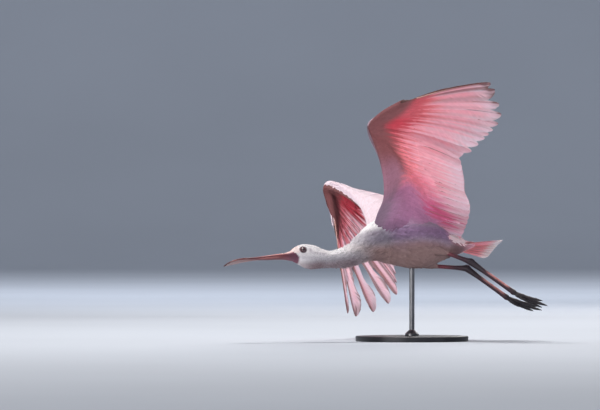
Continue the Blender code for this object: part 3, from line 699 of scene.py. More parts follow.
BODY_STATIONS = (
    (307, -35, 12.0, 13.0, 20),
    (296, -34, 15.0, 19.0, 20),
    (278, -34, 18.5, 26.0, 20),
    (257, -39, 19.0, 27.5, 20),
    (236, -43, 17.5, 21.5, 18),
    (214, -45, 16.5, 18.0, 15),
    (180, -41, 19.5, 21.0, 11),
    (146, -28, 23.5, 25.0, 7),
    (117, -11, 31.0, 33.0, 4),
    (74, 6, 47.0, 49.0, 0),
    (34, 4, 53.0, 54.0, 0),
    (-7, -2, 54.0, 57.0, 0),
    (-46, -3, 48.0, 50.0, 0),
    (-81, -6, 36.0, 33.0, 0),
    (-107, -9, 25.0, 19.0, 0),
    (-121, -9, 20.5, 13.5, 4),
    (-138, -8, 16.0, 7.0, 8),
)


class Body:
    """Head, neck, trunk and rump as one surface, by station and by angle round it."""

    SIDES = 72
    STEPS = 161

    def __init__(self) -> None:
        """Reads the stations into curves and lays the sheet over them."""
        rows = dict(enumerate(BODY_STATIONS))
        self.centres = Keyed({k: (-v[0], 0, v[1]) for k, v in rows.items()})
        self.sizes = Keyed({k: v[2:] for k, v in rows.items()})
        self.last = len(BODY_STATIONS) - 1
        angles = np.linspace(-math.pi, 2 * math.pi, self.SIDES * 3 // 2 + 1)
        stations = np.linspace(0, self.last, self.STEPS)
        grid = self.ring(angles[:, None], stations[None, :])
        self.sheet = Sheet(grid, angles, stations, grid - self.centres(stations)[None] * MM)

    def ring(self, angles: Array, stations: Array, inset: Array | float = 0.0) -> Array:
        """Points round the body.

        Args:
            angles: Angles from the right side over the back, in radians.
            stations: Stations, from the bill's root to the rump.
            inset: How far the points lie inside the outline, in metres.

        Returns:
            Level points.
        """
        angles, stations = np.broadcast_arrays(angles, stations)
        middle = self.centres(stations) * MM
        along = unit(self.centres(stations + 0.05) - self.centres(stations - 0.05))
        size = self.sizes(stations)
        lean = np.radians(size[..., 2])
        across = np.stack([np.zeros_like(lean), np.cos(lean), np.sin(lean)], axis=-1)
        upward = unit(np.cross(along, across))
        wide = np.cos(angles) * (size[..., 0] * MM - inset)
        high = np.sin(angles) * (size[..., 1] * MM - inset)
        return middle + across * wide[..., None] + upward * high[..., None]

    def station(self, forward: Array) -> Array:
        """The station nearest to each distance forward, in millimetres."""
        places = np.linspace(0, self.last, 400)
        return np.interp(-np.asarray(forward), self.centres(places)[:, 0], places)


PRIMARIES = 10
SECONDARIES = 12
LAST_FEATHER = 26
WRIST_INDEX = 9.5
ELBOW_INDEX = 21.5
DORSAL_THICKNESS = Keyed(
    {-0.5: 2, 0: 4, 5: 8, 9.5: 12, 16: 12, 21.5: 15, 26: 22, 28: 20, 30: 8}
)
VENTRAL_THICKNESS = Keyed(
    {-0.5: 2, 0: 4, 5: 7, 9.5: 9, 16: 9.5, 21.5: 13, 26: 24, 28: 22, 30: 8}
)
CORE_REACH = Keyed(
    {-0.5: 60, 0: 44, 2: 30, 5: 26, 9.5: 30, 16: 34, 21.5: 42, 26: 60, 28: 66, 30: 66}
)
FEATHER_BOW = Keyed({0: 0.05, 5: 0.09, 9: 0.13, 10: 0.16, 16: 0.16, 22: 0.13, 26: 0.08})
FEATHER_SWEEP = Keyed({0: 1.0, 5: 0.8, 9: 0.7, 10: 0.4, 16: 0.0, 26: 0.0})
BONE_SHARE = 0.66
FULLNESS = Keyed({0: 0, 0.1: 0.45, 0.34: 0.8, BONE_SHARE: 1.0, 0.84: 0.75, 1.0: 0.2})
BACK_EDGE = 1.6 * MM


@dataclass
class Wing:
    """One wing as a surface: feather index from the outermost in, share from root to tip."""

    name: str
    side: int
    sweep: float
    slots: tuple[tuple[float, float], ...]
    broad: int
    elbow: tuple[int, int, int]
    wrist: tuple[int, int, int]
    fingertip: tuple[int, int, int]
    leading_edge: dict[float, tuple[int, int, int]]
    tips: dict[float, tuple[int, int, int]]
    shoulder: tuple[int, int, int] = (55, 36, 22)

    INDICES = np.linspace(-0.5, 30, 123)
    SHARES = np.linspace(0, 1.08, 109)

    def __post_init__(self) -> None:
        """Turns the named places into curves and lays both sheets over them."""
        shoulder, elbow, wrist, fingertip = (
            level(*place, self.side)
            for place in (self.shoulder, self.elbow, self.wrist, self.fingertip)
        )

        def between(one: Array, two: Array, share: float) -> Array:
            return one * (1 - share) + two * share

        self.leading = Keyed({k: level(*p, self.side) for k, p in self.leading_edge.items()})
        ends = {k: level(*p, self.side) for k, p in self.tips.items()}
        self.hand_tips = Keyed({k: p for k, p in ends.items() if k < WRIST_INDEX})
        self.arm_tips = Keyed({k: p for k, p in ends.items() if k > WRIST_INDEX})
        self.roots = Keyed(
            {
                0: fingertip,
                5: between(fingertip, wrist, 0.55),
                WRIST_INDEX: wrist,
                16: between(wrist, elbow, 0.53),
                ELBOW_INDEX: elbow,
                LAST_FEATHER: between(elbow, shoulder, 0.66),
                LAST_FEATHER + 2: shoulder,
            }
        )
        self.bone_at, self.chord, self.upper = self._sheet(Face.UPPER)
        _, _, self.under = self._sheet(Face.UNDER)

    def tip(self, index: Array) -> Array:
        """Where the feathers of those indices end."""
        last, first = PRIMARIES - 1, PRIMARIES
        share = np.clip(index - last, 0, 1)[..., None]
        hand = self.hand_tips(np.minimum(index, last))
        arm = self.arm_tips(np.maximum(index, first))
        return hand * (1 - share) + arm * share

    def rough_normal(self, index: Array) -> Array:
        """The upper side's direction, from the unbent feathers."""
        along = self.tip(index) - self.roots(index)
        inward = (self.roots(index + 1) + self.tip(index + 1) * 0.6) - (
            self.roots(index - 1) + self.tip(index - 1) * 0.6
        )
        return unit(np.cross(along, inward) * -self.side)

    def shaft(self, index: Array, share: Array) -> Array:
        """Points of the wing, on feather shafts that bow upwards."""
        index, share = np.broadcast_arrays(np.asarray(index, float), share)
        root, tip = self.roots(index), self.tip(index)
        upward = self.rough_normal(index)
        length = np.linalg.norm(tip - root, axis=-1)[..., None]
        lead = np.cross(tip - root, upward) * -self.side
        bow = upward * length * FEATHER_BOW(index)[..., None]
        side = lead * (self.sweep * FEATHER_SWEEP(index))[..., None]
        middle = (root + tip) / 2 + bow + side
        s = share[..., None]
        return root * (1 - s) ** 2 + middle * (2 * s * (1 - s)) + tip * s**2

    def normal(self, index: Array, share: Array) -> Array:
        """The upper side's directions at points of the wing."""
        along = self.shaft(index, share + 0.05) - self.shaft(index, share - 0.05)
        inward = self.shaft(index + 0.4, share) - self.shaft(index - 0.4, share)
        return unit(np.cross(along, inward) * -self.side)

    def outline(self, index: Array, places: Array, face: Face, inset: float = 0.0) -> Array:
        """Points over the fleshy part and on along the feathers.

        Args:
            index: Feather indices, in a column.
            places: From -1 at the leading edge through 0 at the bones to 1 at the tips.
            face: Which side of the wing.
            inset: How far inside the outline, in metres.

        Returns:
            Level points, over the indices and then the places.
        """
        held = np.clip(index, 0, LAST_FEATHER)
        bone, front = self.roots(index), self.leading(index)
        length = np.linalg.norm(self.tip(index) - bone, axis=-1)
        reach = CORE_REACH(index) * MM / length
        back = self.shaft(index, reach)
        t = np.clip(1 + places, 0, 1)[..., None]
        first = (bone - front) / BONE_SHARE
        second = back - front
        ahead = (
            front * (2 * t**3 - 3 * t**2 + 1)
            + first * BONE_SHARE * (t**3 - 2 * t**2 + t)
            + bone * (3 * t**2 - 2 * t**3)
            + second * BONE_SHARE * (t**3 - t**2)
        )
        past = np.maximum(places, 0)
        behind = self.shaft(index, past)
        middle = np.where((places <= 0)[..., None], ahead, behind)
        thick = DORSAL_THICKNESS if face is Face.UPPER else VENTRAL_THICKNESS
        depth = np.maximum(thick(index) * MM - inset, 0.6 * MM)
        run = np.minimum(past / reach, 1)
        full = np.where(
            places <= 0,
            FULLNESS(np.clip(BONE_SHARE * (1 + places), 0, 1)),
            FULLNESS(BONE_SHARE + (1 - BONE_SHARE) * run),
        )
        edge = max(BACK_EDGE - inset, 0.3 * MM) * fade(0.75, 1.0, run) * (1 - 0.4 * past)
        offset = np.where(run < 1, np.maximum(depth * full, edge), edge)
        upward = self.normal(held, np.maximum(past, 0.05))
        step = np.gradient(middle, axis=1)
        tangent = unit(step)
        turned = unit(upward - tangent * np.sum(upward * tangent, axis=-1, keepdims=True))
        return middle + turned * (offset * face.value)[..., None]

    def _sheet(self, face: Face) -> tuple[Keyed, Keyed, Sheet]:
        """Lays a sheet over one side, by index and by share of the way from edge to tip."""
        index = self.INDICES[:, None]
        places = np.concatenate([np.linspace(-1, 0, 41), np.linspace(0.02, 1, 50)])[None, :]
        index, places = np.broadcast_arrays(index, places)
        points = self.outline(index, places, face)
        steps = np.linalg.norm(np.diff(points, axis=1), axis=-1)
        run = np.concatenate([np.zeros((len(points), 1)), np.cumsum(steps, axis=1)], axis=1)
        total = run[:, -1]
        grid = np.empty((len(points), len(self.SHARES), 3))
        for row, (line, gone) in enumerate(zip(points, run)):
            wanted = self.SHARES * gone[-1]
            past = np.maximum(wanted - gone[-1], 0)[:, None]
            end = unit(line[-1] - line[-3])
            for axis in range(3):
                grid[row, :, axis] = np.interp(wanted, gone, line[:, axis])
            grid[row] += end * past
        bone_run = run[:, 40]
        outward = self.normal(np.clip(index, 0, LAST_FEATHER)[:, :1], 0.3) * face.value
        sheet = Sheet(grid, self.INDICES, self.SHARES, np.broadcast_to(outward, grid.shape))
        bone_at = Keyed(dict(zip(self.INDICES[::4], (bone_run / total)[::4])))
        chord = Keyed(dict(zip(self.INDICES[::4], total[::4])))
        return bone_at, chord, sheet


LEFT_WING = {
    "name": "left",
    "side": -1,
    "sweep": 0.05,
    "slots": ((0.7, 0.65), (0.85, 0.8), (0.95, 0.9), (1.0, 1.0), (1.0, 1.0)),
    "broad": PRIMARIES,
    "elbow": (-1, 50, 131),
    "wrist": (84, 116, 242),
    "fingertip": (33, 207, 247),
    "leading_edge": {
        -0.5: (29, 212, 256),
        0: (38, 207, 256),
        5: (73, 160, 256),
        9.5: (93, 123, 244),
        12: (88, 112, 222),
        16: (72, 91, 172),
        19: (67, 73, 125),
        22: (71, 56, 86),
        26: (88, 38, 54),
        28: (98, 26, 30),
        30: (104, 14, 4),
    },
    "tips": {
        0: (-89, 411, 158),
        1: (-100, 402, 146),
        2: (-115, 376, 125),
        3: (-127, 351, 113),
        4: (-128, 322, 107),
        5: (-124, 296, 108),
        7: (-122, 250, 117),
        9: (-113, 190, 124),
        10: (-110, 134, 148),
        12: (-124, 104, 141),
        15: (-134, 79, 122),
        18: (-137, 60, 102),
        21: (-146, 50, 71),
        23: (-138, 42, 41),
        26: (-118, 38, 4),
    },
}
RIGHT_WING = {
    "name": "right",
    "side": 1,
    "sweep": 0.015,
    "slots": ((0.42, 0.34), (0.46, 0.6), (0.46, 0.8), (0.52, 0.9)),
    "broad": 4,
    "elbow": (21, 40, 119),
    "wrist": (114, 111, 238),
    "fingertip": (80, 198, 184),
    "leading_edge": {
        -0.5: (74, 212, 178),
        0: (83, 204, 188),
        2.5: (93, 182, 212),
        5: (106, 160, 228),
        9.5: (124, 114, 243),
        12: (100, 95, 217),
        16: (77, 67, 155),
        19: (74, 57, 122),
        22: (77, 49, 88),
        26: (88, 40, 52),
        28: (98, 26, 30),
        30: (104, 14, 4),
    },
    "tips": {
        0: (7, 401, 76),
        1: (-10, 398, 65),
        2: (-48, 379, 64),
        3: (-81, 354, 71),
        4: (-96, 328, 80),
        5: (-87, 296, 92),
        7: (-68, 243, 104),
        9: (-64, 190, 115),
        10: (-76, 134, 148),
        12: (-100, 108, 144),
        15: (-116, 82, 126),
        18: (-126, 62, 104),
        21: (-140, 50, 72),
        23: (-136, 42, 41),
        26: (-118, 38, 4),
    },
}


@dataclass
class Tail:
    """The tail's fan: feather index from the left, share from root to tip."""

    feathers: int = 12
    top: int = 5
    root: tuple[float, float, float] = (-96, 0, -9)
    root_width: float = 22 * MM
    length: float = 122 * MM
    spread: float = math.radians(17)
    turn: float = math.radians(11)
    drop: float = math.radians(-3)
    rounding: float = 0.05
    arch: float = 0.10

    def __post_init__(self) -> None:
        """Works out the directions across and over the fan."""
        self.across = np.array([0, math.cos(self.turn), math.sin(self.turn)])
        self.upward = np.array([0, -math.sin(self.turn), math.cos(self.turn)])

    def shaft(self, index: Array, share: Array) -> Array:
        """Points on the fan."""
        index, share = np.broadcast_arrays(np.asarray(index, float), share)
        half = (self.feathers - 1) / 2
        sweep = ((index - half) / half)[..., None]
        angle = sweep * self.spread
        root = level(*self.root) + self.across * sweep * self.root_width / 2
        length = self.length * (1 - self.rounding * sweep**2)
        along = np.array([1.0, 0, 0]) * np.cos(angle) + self.across * np.sin(angle)
        along = along - self.upward * (math.sin(self.drop) + self.arch * sweep**2)
        return root + along * length * share[..., None]

    def normal(self, index: Array, share: Array) -> Array:
        """The upper side's directions on the fan."""
        across = self.shaft(index + 0.5, share) - self.shaft(index - 0.5, share)
        along = self.shaft(index, share + 0.05) - self.shaft(index, share - 0.05)
        return unit(np.cross(along, across))


# END_SHAPES
PALE = linear(230, 200, 212)
BLUSH = linear(242, 168, 182)
SALMON = linear(232, 122, 130)
SCARLET = linear(196, 62, 76)
# Painted shade of scarlet, used only on the far wing.
SHADED_SCARLET = linear(150, 34, 50)
UMBER = linear(126, 82, 84)
MAUVE = linear(158, 116, 136)
LILAC = linear(192, 132, 172)
DEEP = linear(146, 104, 142)
# Painted shade at the wing's root.
ROOT_SHADE = linear(108, 92, 114)
MAGENTA = linear(214, 92, 138)
DUSK = linear(78, 48, 46)
SNOW = linear(238, 232, 234)
# Painted shade: a dark buff-brown laid on the belly of the white bird.
BELLY_SHADE = linear(150, 110, 104)
SHADE = linear(112, 96, 118)
ROSE = linear(232, 122, 144)
SHAFT_PALE = linear(196, 150, 140)
SHAFT_DARK = linear(92, 44, 44)


@dataclass(frozen=True)
class WingMarkings:
    """Where each colour lies on a wing, by feather index and share of the chord."""

    side: int

    @property
    def far(self) -> float:
        """1 for the wing on the far side, whose inner half shows its upper side; its colours carry painted
        shade and, on the hand, painted backlight.
        """
        return float(self.side > 0)

    def under(self, index: Array, share: Array) -> Array:
        """The underside's colours, streaked along the lie of the feathers.

        Args:
            index: Feather indices.
            share: Shares of the way from the leading edge to the feather's tip.

        Returns:
            A colour for each place.
        """
        streak = np.sin(index * 6.3 + 1) + 0.8 * np.sin(index * 15.1) + 0.6 * np.sin(index * 34.7)
        soft = share + 0.055 * streak * fade(0.15, 0.4, share)
        hand = 1 - fade(8.0, 11.0, index)
        base = np.broadcast_to(PALE, (*np.shape(index), 3)).copy()
        # Painted backlight: on the far wing the hand is paler, its blush and salmon ending nearer the edge.
        pale = 0.42 * self.far * hand
        base = blend(base, BLUSH, 0.85 * (1 - fade(0.66 - pale, 0.95 - pale, soft)))
        end = 0.46 + 0.03 * fade(12, 17, index) - 0.06 * (1 - fade(0, 6, index)) - 0.3 * pale
        base = blend(base, SALMON, 0.95 * (1 - fade(end - 0.12, end + 0.12, soft)))
        # Painted shade: on the far wing the scarlet core reaches further and turns deep crimson.
        deep = 0.2 * self.far
        core = 1 - fade(2.0, 5.2 - 2 * self.far, np.abs(index - 9.0 - 0.6 * self.far))
        core = core * (1 - fade(0.28 + deep, 0.42 + deep, soft))
        scarlet = blend(np.broadcast_to(SCARLET, base.shape), SHADED_SCARLET, self.far)
        base = blend(base, scarlet, (0.85 + 0.13 * self.far) * core)
        base = blend(base, SCARLET, 0.6 * hand * (1 - fade(0.29, 0.42, soft)))
        vein = (0.5 + 0.5 * np.sin(index * 9.42 + 1.4)) ** 2 * fade(0.34, 0.5, share)
        base = blend(base, SALMON, 0.3 * vein * (1 - fade(0.8, 1, share)) * (1 - fade(16, 22, index)))
        inner = fade(19.0, 25.0, index + 3.0 * (1 - soft) * fade(20, 24, index))
        base = blend(base, LILAC, 0.9 * inner * (1 - 0.8 * fade(0.6, 0.9, soft)))
        warm = (1 - fade(1.2, 4.0, np.abs(index - 20.4 - 4.5 * (soft - 0.5))))
        base = blend(base, ROSE, 0.7 * warm * fade(0.36, 0.48, soft) * (1 - fade(0.56, 0.76, soft)))
        patch = 1 - fade(0.5, 2.2, np.abs(index - 23.9 - 5.0 * (soft - 0.68)))
        patch = patch * fade(0.5, 0.62, soft) * (1 - fade(0.84, 0.98, soft))
        base = blend(base, MAGENTA, 0.85 * patch)
        base = blend(base, DEEP, 0.3 * fade(23.5, 27, index) * (1 - fade(0.5, 0.85, soft)))
        band = (0.17 + 0.07 * self.far) * hand
        band = band + 0.28 * (1 - hand) * (1 - 0.5 * fade(19, 24, index))
        edge = 1 - fade(band * 0.74, band * 1.36, soft)
        umber = blend(np.broadcast_to(UMBER, base.shape), MAUVE, fade(14.5, 19, index))
        # Painted shade: the far wing's leading band darkened towards dusk.
        umber = blend(umber, DUSK, 0.62 * self.far)
        base = blend(base, umber, 0.92 * edge)
        # A dark bar along the forearm: painted shadow between the forearm and the lining.
        bar = np.exp(-(((share - 0.27) / 0.04) ** 2)) * (1 - fade(1.5, 3.0, np.abs(index - 17)))
        base = blend(base, UMBER, 0.55 * bar)
        # Painted shade where the wing's root meets the breast and body.
        front = fade(20, 25, index) * (1 - fade(0.08, 0.42, share))
        base = blend(base, ROOT_SHADE, 0.7 * np.maximum(front, fade(26, 29.5, index)))
        lead = (1 - fade(0.0, 0.55, index)) * fade(0.1, 0.3, share)
        base = blend(base, UMBER, 0.7 * lead)
        return self._tips(base, index, share)

    def upper(self, index: Array, share: Array) -> Array:
        """The upper side's colours: white on the arm, pinker over the lining's place, paler and greyer on the
        far wing as painted shade.
        """
        base = np.broadcast_to(SNOW, (*np.shape(index), 3)).copy()
        flush = fade(0.2, 0.45, share) * (1 - fade(0.7, 1.0, share))
        base = blend(base, BLUSH, 0.3 * flush + 0.06)
        # Painted shade: the far wing's upper side dimmed.
        base = blend(base, PALE, np.maximum(0.5 * fade(0.7, 1.0, share), 0.6 * self.far))
        base = blend(base, SHADE, 0.14 * self.far)
        base = blend(base, MAUVE, 0.8 * (1 - fade(0.03, 0.16, share)) * (1 - self.far))
        return self._tips(base, index, share)

    def _tips(self, base: Array, index: Array, share: Array) -> Array:
        """Darkens the leading vane of each outer primary, most of all at its end."""
        web = 1 - fade(-0.06, 0.1, index - np.round(index))
        reach = 0.86 + 0.022 * np.maximum(index, 0)
        worn = 0.5 + 0.5 * np.sin(index * 23.0 + share * 60.0)
        dusk = (1 - fade(3.6, 5.4, index)) * fade(reach, reach + 0.08, share + 0.03 * worn)
        dusk = dusk * (0.35 + 0.65 * np.maximum(web, worn * (1 - fade(1.2, 2.4, index))))
        strong = np.maximum(1 - fade(0.5, 2.5, index), self.far * (1 - fade(5, 8, index)))
        line = (0.15 + 0.6 * strong) * (1 - fade(6, 9.5, index)) * web * fade(0.3, 0.5, share)
        first = 1 - fade(-0.1, 0.05, index)
        return blend(base, DUSK, 0.9 * np.maximum(np.maximum(dusk, line), first))


@dataclass(frozen=True)
class Fit:
    """Sizes of one row of long feathers, in millimetres and shares of the length."""

    outer: float
    inner: float
    grow: float = 0.28
    taper: float = 0.8
    least: float = 0.04
    slot: float = 1.0
    end: float = 1.0
    lap: float = 1.08

    def width(self, share: Array, full: Array) -> Array:
        """Widths in metres at shares of the length, for the full width in millimetres."""
        rise = 0.12 + 0.88 * fade(0.02, self.grow, share)
        past = np.clip((share - self.taper) / (1 - self.taper), 0, 1)
        fall = np.maximum(np.sqrt(np.maximum(1 - past**2, 0)), self.least * (share < 0.999))
        waist = 1 - (1 - self.slot) * fade(0.42, 0.56, share) * (1 - fade(0.66, 0.84, share))
        distal = 1 - (1 - self.end) * fade(0.6, 0.8, share)
        return full * MM * rise * fall * waist * distal


class LongFeathers:
    """Flight or tail feathers: each a vane with slanting barbs, on a tapered shaft."""

    BARB_SLANT = 1.15
    SHINGLE = 1.7 * MM

    def __init__(
        self,
        surface: Callable[[Array, Array], Array],
        normal: Callable[[Array, Array], Array],
        colour: Callable[[Array, Array, Array], Array],
        seed: int,
    ) -> None:
        """Models the vane and the shaft that every feather copies.

        Args:
            surface: Points by feather index and share.
            normal: Upper directions by feather index and share.
            colour: Colours by index, share and face.
            seed: Start of the random splits.
        """
        self.surface = surface
        self.normal = normal
        self.colour = colour
        self.random = np.random.default_rng(seed)
        self.vanes = MeshParts()
        self.shafts = MeshParts()
        rows = 46
        self.pattern = Pattern(10, {r / rows: 1.0 for r in range(rows + 1)})
        self.quill = QuillPattern(40)

    def add(self, index: float, fit: Fit, rank: float, place: float) -> None:
        """Adds one feather.

        Args:
            index: Its place in the fan.
            fit: Its sizes.
            rank: 1 where the inner edge lies lower, -1 where the outer one does.
            place: Its strip of the map for baking, from 0 to 1.
        """
        x, along, face = self.pattern.x, self.pattern.along, self.pattern.face
        length = float(
            np.linalg.norm(
                self.surface(np.array(index), np.array(1.0))
                - self.surface(np.array(index), np.array(0.0))
            )
        )
        full = np.where(x < 0, fit.outer, fit.inner)
        splits = self._splits(along, x)
        spread = np.abs(x) * splits
        sweep = np.minimum(spread * full * MM * self.BARB_SLANT / length, (1 - along) * 0.92)
        share = np.clip(along + sweep, 0, 1)
        width = fit.width(share, full) * spread
        where = np.full_like(share, index)
        gap = self.surface(where + 0.5, share) - self.surface(where - 0.5, share)
        spacing = np.linalg.norm(gap, axis=-1)
        limit = np.where(x < 0, 0.55, fit.lap)
        reach = np.minimum(width / spacing, limit * spread) * np.sign(x)
        at = where + reach
        droop = 0.9 * MM * (spread**2) * np.where(x < 0, 0.4, 1.0)
        lift = -self.SHINGLE * reach * rank - droop
        lift = lift + face * (0.22 - 0.12 * np.abs(x)) * MM
        points = self.surface(at, share) + self.normal(at, share) * lift[:, None]
        colours = self.colour(at, share, face)
        tone = np.clip(1 + 0.1 * self.random.standard_normal() * np.array([0.5, 1, 1]), 0.8, 1.15)
        rib = (1 - fade(0.1, 0.75, np.abs(x))) * fade(0.05, 0.3, along)
        flush = colours * np.array([0.96, 0.68, 0.72])
        colours = (colours + (flush - colours) * (0.45 * rib)[:, None]) * tone
        vane = np.stack([reach * spacing, along * length], axis=-1)
        half = np.where(face > 0, 0.25, 0.75) + x * 0.22
        bake = np.stack([place + half / 30, 0.02 + along * 0.96], axis=-1)
        self.vanes.add(points[None], self.pattern.faces, colours[None], vane[None], bake[None])
        self._shaft(index, length, place)

    def _splits(self, along: Array, x: Array) -> Array:
        """How far out the barbs reach, with a few short splits in the edges."""
        rows = np.round(along * 46).astype(int)
        reach = np.ones((2, 47)) + self.random.uniform(-0.025, 0.025, (2, 47))
        for side, count in ((0, 1), (1, 2)):
            for row in self.random.integers(20, 45, count):
                reach[side, row] *= self.random.uniform(0.84, 0.95)
        return reach[(x > 0).astype(int), rows]

    def _shaft(self, index: float, length: float, place: float) -> None:
        """Adds the shaft along the feather's middle."""
        around, along = self.quill.x, self.quill.along
        share = along * 0.985
        where = np.full_like(share, index)
        centre = self.surface(where, share)
        upward = self.normal(where, share)
        ahead = unit(self.surface(where, share + 0.02) - self.surface(where, share - 0.02))
        across = np.cross(upward, ahead)
        radius = ((0.9 + length * 3.2) * (1 - along) + 0.16) * MM
        ring = across * np.cos(around)[:, None] + upward * np.sin(around)[:, None]
        points = centre + ring * radius[:, None] - upward * (0.15 * MM)
        share_dark = fade(0.25, 0.8, along) * 0.75
        colours = blend(np.broadcast_to(SHAFT_PALE, points.shape), SHAFT_DARK, share_dark)
        bake = np.stack([place + (around / math.tau % 1) / 34, 0.02 + along * 0.96], axis=-1)
        self.shafts.add(points[None], self.quill.faces, colours[None], None, bake[None])


class QuillPattern:
    """A six-sided tapered stick modelled once: x is the angle round it, along runs 0 to 1."""

    def __init__(self, rows: int) -> None:
        """Models the stick from a circle that is extruded row by row.

        Args:
            rows: Steps along the stick.
        """
        deselect()
        bpy.ops.mesh.primitive_circle_add(vertices=6, radius=1, fill_type="NGON")
        stick = bpy.context.object
        bpy.ops.object.mode_set(mode="EDIT")
        bpy.ops.mesh.select_all(action="SELECT")
        for _ in range(rows):
            bpy.ops.mesh.extrude_region_move(TRANSFORM_OT_translate={"value": (0, 0, 1 / rows)})
        bpy.ops.mesh.select_all(action="SELECT")
        bpy.ops.mesh.normals_make_consistent(inside=False)
        bpy.ops.object.mode_set(mode="OBJECT")
        points = coordinates(stick.data)
        self.x = np.arctan2(points[:, 1], points[:, 0])
        self.along = points[:, 2]
        faces = []
        for polygon in stick.data.polygons:
            corners = tuple(polygon.vertices)
            if len(corners) == 4:
                faces.append(corners)
            else:
                faces += [corners[:4], (corners[3], corners[4], corners[5], corners[0])]
        self.faces = np.array(faces)
        bpy.data.objects.remove(stick, do_unlink=True)


@dataclass(frozen=True)
class Lay:
    """How small feathers stand in a coat, in millimetres, and how untidy they are."""

    root: float = -0.5
    tip: float = 1.2
    thick: float = 0.18
    camber: float = 0.06
    shingle: float = 0.3
    mess: float = 0.05
    twist: float = 0.06
    tone: float = 0.05


class Coat:
    """Small feathers laid over a sheet in overlapping rows."""

    def __init__(self, sheet: Sheet, pattern: Pattern, seed: int) -> None:
        """Starts an empty coat.

        Args:
            sheet: What the feathers follow.
            pattern: The vane that is copied.
            seed: Start of the random numbers.
        """
        self.sheet = sheet
        self.pattern = pattern
        self.random = np.random.default_rng(seed)
        self.parts = MeshParts()

    def add(
        self,
        first: Array,
        second: Array,
        length: Array,
        width: Array,
        lay: Lay,
        colour: Callable[[Array, Array, Array], Array],
        unwrap: Callable[[Array, Array], Array],
        turn: Array | float = 0.0,
    ) -> None:
        """Lays feathers with their roots at some places.

        Args:
            first: Roots, across the lie.
            second: Roots, along the lie.
            length: Lengths in millimetres.
            width: Full widths in millimetres.
            lay: How they stand.
            colour: Colours by both parameters and by share of the feather's length.
            unwrap: The root's place on the map for baking.
            turn: Sideways lean of each feather, as a slope.
        """
        if not len(first):
            return
        count = len(first)
        spread = self.random.standard_normal((4, count))
        long = length * MM * (1 + 0.08 * spread[0])
        half = width * MM / 2 * (1 + 0.06 * spread[1])
        slope = turn + lay.twist * spread[2]
        x, along, face = (v[None, :] for v in (self.pattern.x, self.pattern.along, self.pattern.face))
        _, ahead = self.sheet.scale(first, second)
        b = second[:, None] + along * (long / np.maximum(ahead, 0.5 * np.median(ahead)))[:, None]
        a_root = np.broadcast_to(first[:, None], b.shape)
        across, _ = self.sheet.scale(a_root, b)
        sideways = x * half[:, None] + slope[:, None] * along * long[:, None]
        a = a_root + sideways / np.maximum(across, 0.5 * np.median(across))
        messy = np.abs(spread[3])[:, None] * lay.mess * length[:, None] * along
        lift = lay.root * (1 - along) + lay.tip * np.minimum(along, 1) + messy
        lift = lift + face * lay.thick * (1 - 0.5 * along) / 2 + lay.shingle * x
        lift = lift * MM - lay.camber * (x * half[:, None]) ** 2 / np.maximum(half[:, None], 1e-6)
        points = self.sheet.point(a, b) + self.sheet.normal(a, b) * lift[..., None]
        colours = colour(a, b, np.broadcast_to(along, b.shape))
        tone = 1 + lay.tone * np.clip(self.random.standard_normal((count, 1, 1)), -2, 1.5)
        colours = colours * tone
        vane = np.stack([x * half[:, None] * np.ones_like(b), along * long[:, None]], axis=-1)
        patch = np.stack(
            [(x + 1) / 4 + np.where(face > 0, 0.0, 0.5), along * np.ones_like(x)], axis=-1
        )
        bakes = unwrap(first, second)[:, None, :] + patch * BAKE_PATCH
        self.parts.add(points, self.pattern.faces, colours, vane, bakes)


SMALL_OUTLINE = {0.0: 0.28, 0.35: 0.98, 0.74: 0.94, 0.96: 0.5}
PLUME_OUTLINE = {0.0: 0.25, 0.25: 0.85, 0.55: 1.0, 0.8: 0.86, 0.96: 0.5}
FRAYED = 0.07
BROAD_OUTLINE = {
    0.0: 0.3,
    0.12: 0.7,
    0.3: 0.95,
    0.5: 1.0,
    0.68: 1.0,
    0.82: 0.88,
    0.92: 0.66,
    0.975: 0.36,
    1.0: 0.1,
}


